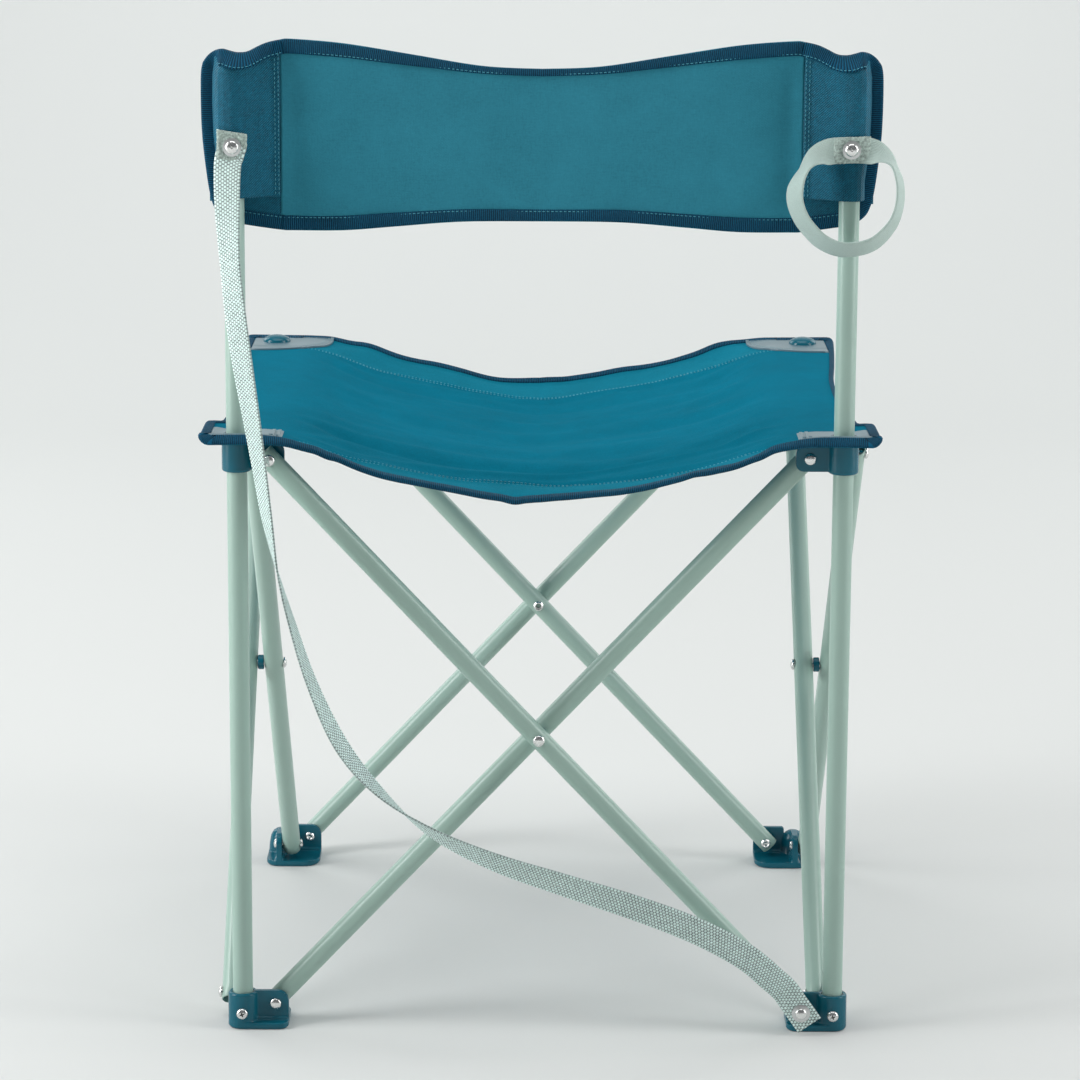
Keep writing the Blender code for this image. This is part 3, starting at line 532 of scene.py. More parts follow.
# ---------------------------------------------------------------- tubes and poles
def tube_mesh(name, length):
    """An open tube about Z's origin, with a small round on both rims."""
    end, outer, inner, r = length / 2, TUBE_RADIUS, TUBE_RADIUS - TUBE_WALL, 0.00035
    half = [(inner, 0), (inner, end - r), (inner + r, end), (outer - r, end), (outer, end - r)]
    mirrored = [(a, -b) for a, b in reversed(half[1:])]
    profile = half + [(outer, end - 0.010), (outer, 0), (outer, -end + 0.010)] + mirrored
    return lathe(name, profile + [profile[0]], 48, 60)


# Each crossed tube: the side it is on, its step outwards from the ears' middle plane, and its lean.
CROSSED_TUBES = {
    "rear_tube_outer": ("rear", SIDE_STEP, -1), "rear_tube_inner": ("rear", -SIDE_STEP, 1),
    "front_tube_inner": ("front", -SIDE_STEP, -1), "front_tube_outer": ("front", SIDE_STEP, 1),
    "left_tube_inner": ("left", -SIDE_STEP, -1), "left_tube_outer": ("left", SIDE_STEP, 1),
    "right_tube_inner": ("right", -SIDE_STEP, 1), "right_tube_outer": ("right", SIDE_STEP, -1),
}


def side_frame(side):
    """A side's outward direction and the level direction along it."""
    facing = FACINGS[side]
    return Vector((*facing, 0)), Vector((abs(facing[1]), abs(facing[0]), 0))


def make_tubes():
    for node, (side, step, lean) in CROSSED_TUBES.items():
        outwards, along = side_frame(side)
        axis = along * (lean * math.sin(LEAN)) + Vector((0, 0, math.cos(LEAN)))
        turn = Matrix((outwards, axis.cross(outwards), axis)).transposed().to_4x4()
        place = Matrix.Translation(outwards * (HALF + step) + Vector((0, 0, PIVOT_MID))) @ turn
        look(node, tube_mesh(node, TUBE_LENGTH), ENAMEL, "sage_enamel", place, smooth=True)
    for name, side_x in SIDES.items():
        node = f"{name}_pole"
        place = Matrix.Translation((side_x * HALF, -HALF, (POLE_BOTTOM + POLE_TOP) / 2))
        look(node, tube_mesh(node, POLE_TOP - POLE_BOTTOM), ENAMEL, "sage_enamel", place, smooth=True)


# ---------------------------------------------------------------- rivets, screws and spacers
def dome(radius, height, count=7):
    """Profile points of a low dome from its top out to its rim."""
    return [
        (radius * math.sin(math.pi / 2 * i / count), height * math.cos(math.pi / 2 * i / count) ** 0.9)
        for i in range(count + 1)
    ]


def rivet_mesh(grip, hollow=False):
    """A rivet about its grip's middle: a domed head, or a rolled tubular end round an open middle."""
    top, bottom = grip / 2 + 0.0003, -grip / 2 - 0.0003
    if hollow:
        head = [(0.0016, bottom), (0.0016, top + 0.0008), (0.0024, top + 0.0019), (0.0034, top + 0.0021),
                (0.0043, top + 0.0014), (0.0046, top)]
    else:
        curve = [(r, top + 0.0002 + z) for r, z in dome(0.0047, 0.0025)[1:]]
        head = [(0, top + 0.0027)] + curve + [(0.0046, top)]
    tail = [(0.0024, top), (0.0024, bottom), (0.0042, bottom), (0.0042, bottom - 0.0008),
            (0.0034, bottom - 0.0016), (0.0024, bottom - 0.0017), (0.0015, bottom - 0.0009),
            (0.0015 if hollow else 0, bottom - 0.0006)]
    return lathe("rivet", head + tail + ([head[0]] if hollow else []), 28)


def make_rivets():
    """Rivets with their heads on the outside, but a rolled end towards the rear at the front crossing."""
    reach = SIDE_STEP + TUBE_RADIUS
    end_grip = reach + EAR_THICK / 2
    strap_grip = STRAP_THICK + 0.0010 + 0.0006
    for node, (side, step, lean) in CROSSED_TUBES.items():
        outwards, along = side_frame(side)
        turn = outwards.to_track_quat("Z", "Y").to_matrix().to_4x4()
        shift = math.copysign((reach - EAR_THICK / 2) / 2, step)
        for end, height, label in ((-1, PIVOT_LOW, "lower"), (1, PIVOT_HIGH, "upper")):
            extra = strap_grip if node == "rear_tube_outer" and end < 0 else 0
            place = outwards * (HALF + shift) + along * (end * lean * SPAN / 2) + Vector((0, 0, height))
            place = Matrix.Translation(place + outwards * (extra / 2)) @ turn
            name = f"{node.replace('_tube', '')}_{label}_rivet"
            look(name, rivet_mesh(end_grip + extra), ZINC, "bright_zinc", place)
    half, inner, outer, edge = EAR_THICK / 2, 0.0028, 0.0062, 0.0006
    ring = [(inner, half), (outer - edge, half), (outer, half - edge), (outer, -half + edge),
            (outer - edge, -half), (inner, -half), (inner, half)]
    for side in FACINGS:
        outwards, _ = side_frame(side)
        head_way = -outwards if outwards.x else Vector((0, -1, 0))
        turn = head_way.to_track_quat("Z", "Y").to_matrix().to_4x4()
        place = Matrix.Translation(outwards * HALF + Vector((0, 0, PIVOT_MID))) @ turn
        rivet = rivet_mesh(2 * reach, hollow=side == "front")
        look(f"{side}_centre_rivet", rivet, ZINC, "bright_zinc", place)
        look(f"{side}_spacer", lathe("spacer", ring, 28), PLASTIC, "petrol_plastic", place)


def make_screws():
    """Pan-head screws with a cross recess, low on the rear feet."""
    top, radius = 0.0028, 0.0046
    profile = [(0, top), (0.0018, 0.0027), (0.0033, 0.0022), (0.0043, 0.0013), (radius, 0.0004), (radius, 0),
               (0.0017, 0), (0.0017, -0.0060), (0, -0.0070)]
    for name, side_x in SIDES.items():
        node = f"{name}_foot_screw"
        surface = -HALF - COLLAR_RADIUS - 0.0003
        place = Matrix.Translation((side_x * HALF, surface, SCREW_HEIGHT)) @ FACING_REAR
        made = add(f"{node}_look", lathe("screw", profile, 40), ZINC, place, False)
        for turn in (0.3, 0.3 + math.pi / 2):
            slot = Matrix.Translation((0, 0, top)) @ Matrix.Diagonal((0.0050, 0.0013, 0.0040, 1))
            cut = bmesh.new()
            bmesh.ops.create_cube(cut, size=1, matrix=Matrix.Rotation(turn, 4, "Z") @ slot)
            for v in cut.verts:                       # the recess narrows downwards
                if v.co.z < top:
                    v.co.x *= 0.55
                    v.co.y *= 0.55
            mesh = bpy.data.meshes.new("recess")
            cut.to_mesh(mesh)
            cut.free()
            cutter = add("recess", mesh, ZINC, place, False)
            change = made.modifiers.new("recess", "BOOLEAN")
            change.operation, change.object = "DIFFERENCE", cutter
            settle(made)
            bpy.data.objects.remove(cutter)
        paint(made.data, ZINC, RECESS_SHADE_ZINC)
        for face in made.data.polygons:               # faces well under the dome are the recess, painted near-black zinc as painted shade
            x, y, z = face.center
            skin = top * (1 - (math.hypot(x, y) / 0.0049) ** 2)
            face.material_index = int(0 < z < skin - 0.0003 and math.hypot(x, y) < 0.0030)
        made.data.set_sharp_from_angle(angle=math.radians(30))
        dress(made, BODY_OF[node], "bright_zinc", node)


# ---------------------------------------------------------------- moulded feet and corner joints
def rounded_outline(x0, y0, x1, y1, radii, count=6):
    """A rectangle with its own radius at each corner, counter-clockwise from the lowest one."""
    corners = [(x0, y0, 1, 1, 180), (x1, y0, -1, 1, 270), (x1, y1, -1, -1, 0), (x0, y1, 1, -1, 90)]
    outline = []
    for (x, y, dx, dy, start), r in zip(corners, radii):
        for i in range(count + 1):
            t = math.radians(start + 90 * i / count)
            outline.append((x + dx * r + r * math.cos(t), y + dy * r + r * math.sin(t)))
    return outline


def slab(work, outline, low, high, place):
    """Adds a closed slab over an outline in XY to a bmesh, put in place by a matrix."""
    bottom, top = ([work.verts.new(place @ Vector((x, y, z))) for x, y in outline] for z in (low, high))
    for k in range(len(outline)):
        after = (k + 1) % len(outline)
        work.faces.new((bottom[k], bottom[after], top[after], top[k]))
    work.faces.new(list(reversed(bottom)))
    work.faces.new(top)


def moulded(node, work):
    """One skin round overlapping solids, its edges softened as moulded plastic's are."""
    bmesh.ops.recalc_face_normals(work, faces=work.faces)
    mesh = bpy.data.meshes.new(f"{node}_look")
    work.to_mesh(mesh)
    work.free()
    piece = add(f"{node}_look", mesh, PLASTIC)
    skin = piece.modifiers.new("skin", "REMESH")
    skin.mode, skin.voxel_size = "VOXEL", 0.00050
    soften = piece.modifiers.new("soften", "SMOOTH")
    soften.factor, soften.iterations = 0.5, 5
    piece.modifiers.new("thin", "DECIMATE").ratio = 0.45
    settle(piece)
    paint(piece.data, PLASTIC)
    piece.data.shade_smooth()
    for v in piece.data.vertices:
        v.co.z = max(v.co.z, 0.0)
    dress(piece, BODY_OF[node], "petrol_plastic", node)


def ring_solid(work, profile, place):
    """Adds a solid turned round an upright axis."""
    mesh = lathe("ring", profile, 56)
    mesh.transform(place)
    work.from_mesh(mesh)


def ears(work, outline, thick, corner):
    """Adds a corner part's two upright plates, one along each side of the frame."""
    side_x, side_y = corner
    for direction in ((-side_x, 0), (0, -side_y)):
        ahead = Vector((*direction, 0))
        upright = Matrix((ahead, (0, 0, 1), ahead.cross((0, 0, 1)))).transposed().to_4x4()
        slab(work, outline, -thick / 2, thick / 2, at_corner(corner) @ upright)


def at_corner(corner):
    return Matrix.Translation((corner[0] * HALF, corner[1] * HALF, 0))


def make_feet():
    r, low, floor = COLLAR_RADIUS, 0.0018, 0.0036
    rear_socket = [
        (BORE_RADIUS, floor), (BORE_RADIUS, FOOT_TOP), (r - 0.0010, FOOT_TOP), (r, FOOT_TOP - 0.0010),
        (r + 0.0002, low), (0.0005, low), (0.0005, floor), (BORE_RADIUS, floor),
    ]
    front_boss = [(0, 0.0268), (0.0042, 0.0262), (0.0074, 0.0242), (0.0096, 0.0200), (0.0110, 0.0130),
                  (r + 0.0002, low), (0, low)]
    ear = rounded_outline(0.0085, BASE_THICK / 2, EAR_OFFSET + 0.0106, FOOT_TOP + 0.0004,
                          (0.001, 0.003, 0.0090, 0.002))
    web = rounded_outline(0.0093, BASE_THICK / 2, EAR_OFFSET + 0.0100, BASE_THICK + 0.0024,
                          (0.001, 0.001, 0.002, 0.001))
    for name, corner in CORNERS.items():
        rear = corner[1] == REAR
        mirror = at_corner(corner) @ Matrix.Diagonal((-corner[0], -corner[1], 1, 1))
        rounding = (0.0112, 0.008, 0.013, 0.008) if rear else (0.0125, 0.0115, 0.015, 0.0115)
        work = bmesh.new()
        for inset, height in ((0.0016, 0.0), (0.0006, 0.0007), (0.0, low)):
            near, far = -0.0119 + inset, 0.0366 - inset
            plate = rounded_outline(near, near, far, far, [radius - inset for radius in rounding])
            slab(work, plate, height, BASE_THICK, mirror)
        ring_solid(work, rear_socket if rear else front_boss, at_corner(corner))
        ears(work, ear, EAR_THICK, corner)
        ears(work, web, EAR_THICK + 0.0024, corner)
        moulded(f"{name}_foot", work)


def make_corner_joints():
    r, low, high = COLLAR_RADIUS, COLLAR_BOTTOM, COLLAR_TOP
    collar = [(BORE_RADIUS, low), (r - 0.0014, low), (r - 0.0004, low + 0.0006), (r, low + 0.0016), (r, high),
              (BORE_RADIUS, high), (BORE_RADIUS, low)]
    ear = rounded_outline(0.0093, low + 0.0015, EAR_OFFSET + 0.0110, high - 0.0022,
                          (0.001, 0.006, 0.006, 0.001))
    for name, corner in CORNERS.items():
        work = bmesh.new()
        ring_solid(work, collar, at_corner(corner))
        ears(work, ear, EAR_THICK, corner)
        moulded(f"{name}_corner_joint", work)


def make_seat_fixings():
    """Flange rings round the poles and domed plugs at the front, on the seat's corners."""
    base = SEAT_LEVEL + 0.0010 + 0.0003
    ring = [(BORE_RADIUS, 0), (BORE_RADIUS, 0.0030), (0.0087, 0.0034), (0.0098, 0.0034), (0.0106, 0.0028),
            (0.0112, 0.0018), (0.0128, 0.0014), (0.0134, 0.0009), (0.0135, 0), (BORE_RADIUS, 0)]
    stem = COLLAR_BOTTOM - base
    plug = [(0, 0.0066)] + [(r, 0.0008 + z) for r, z in dome(0.0121, 0.0058, 10)[1:]]
    plug += [(0.0125, 0.0004), (0.0125, 0), (0.0080, 0), (0.0080, stem + 0.002), (0.0060, stem), (0, stem)]
    for name, corner in CORNERS.items():
        rear = corner[1] == REAR
        node, part, profile = ("flange_ring", "flange", ring) if rear else ("domed_plug", "plug", plug)
        mesh = lathe(part, [(r, base + z) for r, z in profile], 56)
        look(f"{name}_{node}", mesh, PLASTIC, "petrol_plastic", at_corner(corner))


make_tubes()
make_rivets()
make_screws()
make_feet()
make_corner_joints()
make_seat_fixings()

# ---------------------------------------------------------------- seat
SEAM = 0.2125                 # where the hanging halves meet the strips that stay on the corner joints
CORNER_ROUND = 0.008
SEAT_CLOTH_THICK = 0.0013
TAB_START = 0.180             # the corner tabs are this far from the middle, and stand out from the sides
SEWN_ROWS = {FRONT: (0.0410, 0.0446), REAR: (0.0240, 0.0274)}   # from the front and the rear edge
# How far the cloth hangs below its corners along the front and the rear edge, and where its two sides run.
FRONT_DROP = smooth_route([
    (0, 0.0405), (0.02, 0.0387), (0.045, 0.0345), (0.075, 0.0295), (0.105, 0.0240), (0.135, 0.0168),
    (0.160, 0.0085), (0.180, 0.0028), (0.200, 0.0004), (0.215, 0.0),
], 6)
REAR_DROP = smooth_route([
    (0, 0.0462), (0.02, 0.0455), (0.04, 0.0435), (0.06, 0.0402), (0.08, 0.0360), (0.10, 0.0313),
    (0.13, 0.0240), (0.150, 0.0178), (0.170, 0.0098), (0.187, 0.0042), (0.200, 0.0014), (0.215, 0.0),
], 6)
SIDE_RUN = smooth_route([
    (-0.180, 0.2515), (-0.110, 0.2480), (-0.040, 0.2455), (0.040, 0.2475), (0.120, 0.2540),
    (0.200, 0.2600), (0.2625, 0.2640),
], 6)
# Long soft creases from side to side: place, height, width, slant, phase.
CREASES = [
    (-0.212, 0.0012, 0.0060, 0.03, 0.9), (-0.176, 0.0016, 0.0075, 0.10, 0.3),
    (-0.146, -0.0017, 0.010, -0.06, 1.2), (-0.118, 0.0012, 0.010, 0.02, 2.2),
    (-0.075, 0.0012, 0.014, 0.08, 2.0), (0.000, -0.0014, 0.020, -0.05, 0.4),
    (0.070, 0.0012, 0.016, 0.07, 2.8), (0.150, -0.0014, 0.012, -0.05, 1.7), (0.196, 0.0012, 0.008, 0.04, 0.6),
]
# Small kinks of the rear edge where the binding was joined: place and depth.
KINKS = [(-0.164, 0.0020), (-0.020, 0.0018), (0.170, 0.0016), (0.118, -0.0010)]


def sewn_inset(row, x, side):
    """How far in from its edge a sewn row runs: the rows are not quite parallel to the edges."""
    if side == REAR:
        return row + 0.0150 * (1 - min(1.0, (x / 0.19) ** 2))
    return row + 0.0120 * smoothstep(0.11, 0.19, abs(x))


def seat_end(x):
    """Distance from the middle to the cloth's front or rear edge, which bow inwards."""
    return SEAT_HALF - END_BOW * (1 - min(1.0, (x / SEAT_HALF) ** 2))


def seat_side(y):
    """Distance from the middle to the cloth's side edge: rear tabs stand out from the sides."""
    tab = 1 - smoothstep(-TAB_START - 0.006, -TAB_START + 0.008, y)
    return curve_at(SIDE_RUN, y) * (1 - tab) + SEAT_HALF * tab


def bump(offset, width):
    """A bell curve of height 1."""
    return math.exp(-(offset / width) ** 2)


def seat_point(a, b):
    """The cloth's upper face at a share of its half width and half depth, both from -1 to 1."""
    x, y = a * SEAT_HALF, b * SEAT_HALF
    edge = SEAT_HALF - CORNER_ROUND
    if abs(x) > edge and abs(y) > edge:
        p, q = (abs(x) - edge) / CORNER_ROUND, (abs(y) - edge) / CORNER_ROUND
        x = math.copysign(edge + CORNER_ROUND * p * math.sqrt(1 - q * q / 2), x)
        y = math.copysign(edge + CORNER_ROUND * q * math.sqrt(1 - p * p / 2), y)
    x *= 1 + (seat_side(y) / SEAT_HALF - 1) * smoothstep(0.70, 1.0, abs(a))
    y *= seat_end(x) / SEAT_HALF
    return Vector((x, y, seat_height(x, y)))


def seat_height(x, y):
    """The height of the cloth's upper face, from its broad sag down to its sewn rows."""
    far = abs(x)
    front = smoothstep(-0.95, 0.95, y / SEAT_HALF)              # 0 at the rear edge, 1 at the front
    z = SEAT_LEVEL + 0.0010 - curve_at(REAR_DROP, far) * (1 - front) - curve_at(FRONT_DROP, far) * front
    hang = 1 - smoothstep(0.150, 0.210, far)
    inside = seat_end(x) - abs(y)
    # the cloth falls away behind the taut front edge, and rises a little in front of the rear one
    z -= 0.0080 * hang * front * smoothstep(0.002, 0.056, inside)
    z += 0.0042 * bump(x, 0.075) * (1 - front) * smoothstep(0.003, 0.028, inside)
    for place, height, width, slant, phase in CREASES:
        line = place + slant * x + 0.007 * math.sin(14 * x + phase)
        z += 2.1 * height * hang * bump(y - line, width) * (0.6 + 0.4 * math.sin(9 * x + 2 * phase))
    # short puckers that fan out from the corners
    for sx, sy in CORNERS.values():
        dx, dy = x - sx * 0.205, y - sy * 0.205
        turn, reach = math.atan2(dy * -sy, dx * -sx), math.hypot(dx, dy)
        z += 0.0013 * math.sin(9 * turn + 1.1 * sx + 2.3 * sy) * bump(reach - 0.055, 0.035) * hang
    z += 0.0027 * noise.noise(Vector((x * 14, y * 24, 3.1))) * hang
    z += 0.0005 * noise.noise(Vector((x * 45, y * 60, 7.7))) * hang
    tip = smoothstep(0.243, 0.2625, far)                        # the rear tabs' outer ends curl up
    z += 0.0030 * tip * (1 - smoothstep(-0.19, -0.13, y)) * smoothstep(0.004, 0.040, inside)
    if y < 0:
        # the rear edge lifts a little and then turns down, most of all at the corners
        corner = smoothstep(0.150, 0.235, far)
        z += (0.0030 + 0.0028 * corner) * (1 - smoothstep(0.006, 0.032, inside))
        z -= (0.0016 + 0.0040 * corner) * max(0.0, 1 - inside / 0.0085) ** 1.3
        for kink, depth in KINKS:
            z -= depth * bump(x - kink, 0.007) * max(0.0, 1 - inside / 0.022)
    else:
        wave = 0.0011 * math.sin(38 * x + 0.8) + 0.0008 * math.sin(83 * x + 2.0)
        z += wave * max(0.0, 1 - inside / 0.020) * hang
    if y > 0:                                                   # the front edge curls up
        z += (0.0018 + 0.0026 * hang) * (1 - smoothstep(0.0010, 0.0085, inside))
    side = FRONT if y > 0 else REAR
    for row in SEWN_ROWS[side]:                                 # the sewn rows press into the cloth
        z -= 0.0007 * bump(inside - sewn_inset(row, x, side), 0.0014)
    return z


def seat_normal(a, b):
    h = 0.004
    du = seat_point(min(1, a + h), b) - seat_point(max(-1, a - h), b)
    dv = seat_point(a, min(1, b + h)) - seat_point(a, max(-1, b - h))
    return du.cross(dv).normalized()


def seat_piece(name, a0, a1, columns, rows=180):
    """Part of the seat's cloth between two shares of its half width, as a closed thin solid."""
    top = np.array([
        [seat_point(a0 + (a1 - a0) * i / columns, 2 * j / rows - 1) for j in range(rows + 1)]
        for i in range(columns + 1)
    ])
    if a1 < a0:
        top = top[::-1]
    low = top - (0, 0, SEAT_CLOTH_THICK)
    count, below = rows + 1, (columns + 1) * (rows + 1)
    grid = surface_mesh("grid", top)
    faces = [tuple(p.vertices) for p in grid.polygons]
    bpy.data.meshes.remove(grid)
    faces += [tuple(v + below for v in reversed(f)) for f in faces]
    rim = [i * count for i in range(columns + 1)] + [columns * count + j for j in range(1, count)]
    rim += [i * count + rows for i in range(columns - 1, -1, -1)] + list(range(rows - 1, 0, -1))
    faces += [(q, p, p + below, q + below) for p, q in zip(rim, rim[1:] + rim[:1])]
    mesh = bpy.data.meshes.new(name)
    mesh.from_pydata(np.concatenate((top.reshape(-1, 3), low.reshape(-1, 3))).tolist(), [], faces)
    tidied(mesh, close=False)
    mesh.shade_smooth()
    mesh.set_sharp_from_angle(angle=math.radians(50))
    return add(name, mesh, SEAT_CLOTH, smooth=False)


def edge_band(edge, inner, normals):
    """A binding folded over an edge: edge and inner are its two lines on the cloth's face."""
    thick, lip = 0.0016, 0.0007
    drop = (SEAT_CLOTH_THICK + thick) / 2
    section = [(0.0, 0.0002), (0.03, thick * 0.55), (0.30, thick * 0.62), (0.65, thick * 0.70),
               (0.92, thick * 0.72), (1.0, thick * 0.35)]
    edge, inner, normals = (np.asarray(v, float) for v in (edge, inner, normals))
    at = arc_lengths((edge + inner) / 2)
    points, uv = [], []
    for i in range(len(edge)):
        n = normals[i] / np.linalg.norm(normals[i])
        reach = edge[i] - inner[i]
        out = reach / (np.linalg.norm(reach) or 1)
        line = [inner[i] + reach * s + n * h for s, h in section]
        line += [edge[i] + out * lip - n * 0.0006]
        line += [inner[i] + reach * s - n * (drop + h) for s, h in reversed(section)]
        points.append([tuple(p) for p in line])
        uv.append([(at[i], v) for v in arc_lengths(line)])
    return tidied(surface_mesh("binding", points, uv, close_across=True))


# Squashes for the folding frame, not applied in this script: axis, anchor and the share of the size that stays.
SEAT_SQUASH = ((0, 1, 0), (0, -0.1976, 0), 0.244)
STRIP_SQUASH = ((0, 1, 0), (0, -HALF, 0), 0.3642)


def along_edge(params, inset):
    """Edge points, the same line moved inwards over the cloth, and normals, through (a, b) places."""
    edge = [seat_point(a, b) for a, b in params]
    shrink, corner = 1 - inset / SEAT_HALF, 1 - CORNER_ROUND / SEAT_HALF
    inner = []
    for a, b in params:
        on_end, on_side = abs(b) >= 0.999 and abs(a) < corner, abs(a) >= 0.999 and abs(b) < corner
        inner.append(seat_point(a if on_end else a * shrink, b if on_side else b * shrink))
    return edge, inner, [seat_normal(a * 0.985, b * 0.985) for a, b in params]


def make_seat():
    split = SEAM / SEAT_HALF
    for name, sx in SIDES.items():
        body, joint = f"seat_{name}_half", f"rear_{name}_joint"
        half = seat_piece(f"seat_{name}_cloth", 0.0, sx * split, 70)
        half.data.materials.append(SEAT_HEM_HIGHLIGHT)          # the folded hems outside the sewn rows get a paler copy of the seat cloth: a painted highlight, not a paler cloth
        for face in half.data.polygons:
            x, y, _ = face.center
            side = FRONT if y > 0 else REAR
            hem = sewn_inset(SEWN_ROWS[side][0], x, side) - 0.001
            face.material_index = int(seat_end(x) - abs(y) < hem)
        dress(half, body, "teal_cloth", f"seat_{name}", squash=SEAT_SQUASH)
        strip = seat_piece(f"seat_{name}_side_cloth", sx * split, sx * 1.0, 24)
        dress(strip, joint, "teal_cloth", squash=STRIP_SQUASH)
        for end, sy, width in (("rear", REAR, 0.0070), ("front", FRONT, 0.0055)):
            lines = along_edge([(sx * split * i / 90, sy) for i in range(91)], width)
            band = add(f"seat_{name}_{end}_binding", edge_band(*lines), BINDING)
            dress(band, body, "petrol_twill", squash=SEAT_SQUASH)
            for row in SEWN_ROWS[sy]:
                shares = [sx * (split - 0.02) * i / 60 for i in range(61)]
                params = [(a, sy * (1 - sewn_inset(row, a * SEAT_HALF, sy) / SEAT_HALF)) for a in shares]
                line = [seat_point(a, b) for a, b in params]
                normals = [seat_normal(a, b) for a, b in params]
                label = f"seat_{name}_{end}_stitches_{int(row * 1e4)}"
                made = stitches(label, line, normals, THREAD, radius=0.0004)
                dress(made, body, "teal_cloth", squash=SEAT_SQUASH)
        rounded = [(sx * (split + (1 - split) * i / 14), REAR) for i in range(15)]
        rounded += [(sx, -1 + 2 * i / 120) for i in range(1, 120)]
        rounded += [(sx * (1 - (1 - split) * i / 14), FRONT) for i in range(15)]
        edge, inner, normals = along_edge(rounded, 0.0070)
        for i, (p, q) in enumerate(zip(edge, inner)):  # the side binding narrows between the corner tabs
            narrowing = smoothstep(-TAB_START, -0.150, p.y) * (1 - smoothstep(0.19, 0.24, p.y))
            inner[i] = p + (q - p) * (1 - 0.45 * narrowing)
        side_band = add(f"seat_{name}_side_binding", edge_band(edge, inner, normals), BINDING)
        dress(side_band, joint, "petrol_twill", squash=STRIP_SQUASH)


make_seat()


# ---------------------------------------------------------------- seat corner patches
def on_seat(x, y, lift):
    """A place on the seat's cloth, or a little above it."""
    return Vector((x, y, seat_height(x, y) + lift))


def densify(outline, step):
    """A closed outline with points no further apart than about one step."""
    made = []
    for p, q in zip(outline, outline[1:] + outline[:1]):
        count = max(1, int(math.dist(p, q) / step))
        made += [(p[0] + (q[0] - p[0]) * i / count, p[1] + (q[1] - p[1]) * i / count) for i in range(count)]
    return made


def patch_mesh(outline, thick, hole):
    """A thin sheet laid on the seat over an outline in XY, round a hole, with its rim rounded over."""
    rows, centre = 18, np.array(hole)
    points = []
    for i in range(rows + 1):
        line = []
        for corner in np.array(outline):
            ray = corner - centre
            length = np.linalg.norm(ray)
            distance = BORE_RADIUS + (length - BORE_RADIUS) * i / rows
            x, y = centre + ray / length * distance
            line.append(tuple(on_seat(x, y, thick * (0.3 if i == rows else 1))))
        points.append(line)
    points.append([tuple(on_seat(x, y, 0)) for x, y, _ in points[-1]])
    mesh = surface_mesh("patch", points, close_across=True)
    tidied(mesh, close=False)
    if sum(face.normal.z for face in mesh.polygons) < 0:
        mesh.flip_normals()
    return mesh


def patch_arc(far_x, length, width, steps):
    """The curved side of a front patch, from its end on the side strip to its end on the front edge."""
    turns = [math.pi / 2 * i / 32 for i in steps]
    return [(far_x - length * math.cos(t) ** 0.9, 0.2540 - width * math.sin(t) ** 0.9) for t in turns]


def patch_stitches(corner, tag, line, pitch):
    made = stitches(f"{corner}_patch_stitches{tag}", line, (0, 0, 1), PALE_THREAD, 0.0018, pitch, 0.0003)
    dress(made, f"{corner}_joint", "petrol_plastic")


def make_patches():
    for corner, (sx, sy) in CORNERS.items():
        body = f"{corner}_joint"
        if sy == REAR:
            outline = rounded_outline(0.2005, -0.2556, 0.2555, -0.2000, (0.0015, 0.006, 0.005, 0.0015), 8)
        else:
            outline = [(0.2555, 0.2540)] + patch_arc(0.2555, 0.0695, 0.0640, range(33))
        outline = [(sx * x, y) for x, y in densify(outline, 0.004)]
        mesh = patch_mesh(outline, 0.0007 if sy == REAR else 0.0009, (sx * HALF, sy * HALF))
        dress(add(f"{corner}_patch", mesh, VINYL), body, "petrol_plastic")
        if sy == REAR:
            for k, x in enumerate((0.2035, 0.2078)):
                line = [on_seat(sx * x, y, 0.0008) for y in np.linspace(-0.2500, -0.2030, 12)]
                ridge = band_mesh("ridge", line, [Vector((1, 0, 0))] * 12, 0.0026, 0.0014)
                dress(add(f"{corner}_patch_ridge_{k}", ridge, VINYL), body, "petrol_plastic")
            line = [on_seat(sx * 0.2057, y, 0.0009) for y in np.linspace(-0.2500, -0.2030, 24)]
            patch_stitches(corner, "", line, 0.0027)
        else:
            for k, inset in enumerate((0.0030, 0.0062)):
                arc = patch_arc(0.2520, 0.0660 - inset, 0.0640 - inset, range(3, 30))
                patch_stitches(corner, f"_{k}", [on_seat(sx * x, y, 0.0011) for x, y in arc], 0.0028)
            line = [on_seat(sx * x, y, 0.0007) for x, y in patch_arc(0.2520, 0.0655, 0.0635, range(33))]
            across = [Vector((p.x - sx * 0.2520, p.y - 0.2540, 0)) for p in line]
            rim = band_mesh("rim", line, across, 0.0026, 0.0016)
            dress(add(f"{corner}_patch_rim", rim, VINYL), body, "petrol_plastic")


make_patches()

# ---------------------------------------------------------------- backrest
# Outlines from the middle outwards, as (distance from the middle, height).
BACK_TOP = [
    (0.0, 0.7620), (0.045, 0.7640), (0.099, 0.7725), (0.150, 0.7805), (0.190, 0.7838), (PANEL_SPLIT, 0.7832),
]
BACK_TOP_END = [
    (0.1996, 0.7832), (0.2100, 0.7808), (0.2180, 0.7772), (0.2230, 0.7746), (0.2275, 0.7733), (0.2325, 0.7734),
    (0.2380, 0.7750), (0.2430, 0.7762), (0.2490, 0.7748), (0.2545, 0.7708), (0.2583, 0.7656),
]
BACK_SIDE = [
    (0.2583, 0.7656), (0.2597, 0.7570), (0.2600, 0.7350), (0.2594, 0.7120), (0.2574, 0.6900), (0.2548, 0.6700),
    (0.2525, 0.6600),
]
BACK_BOTTOM = [
    (0.0, 0.6455), (0.060, 0.6450), (0.110, 0.6412), (0.150, 0.6380), (0.190, 0.6378), (PANEL_SPLIT, 0.6382),
]
BACK_BOTTOM_END = [
    (0.1996, 0.6382), (0.2240, 0.6415), (0.2370, 0.6440), (0.2450, 0.6480), (0.2500, 0.6535), (0.2525, 0.6600),
]
SMOOTH_TOP = smooth_route(BACK_TOP + BACK_TOP_END[1:], 8)
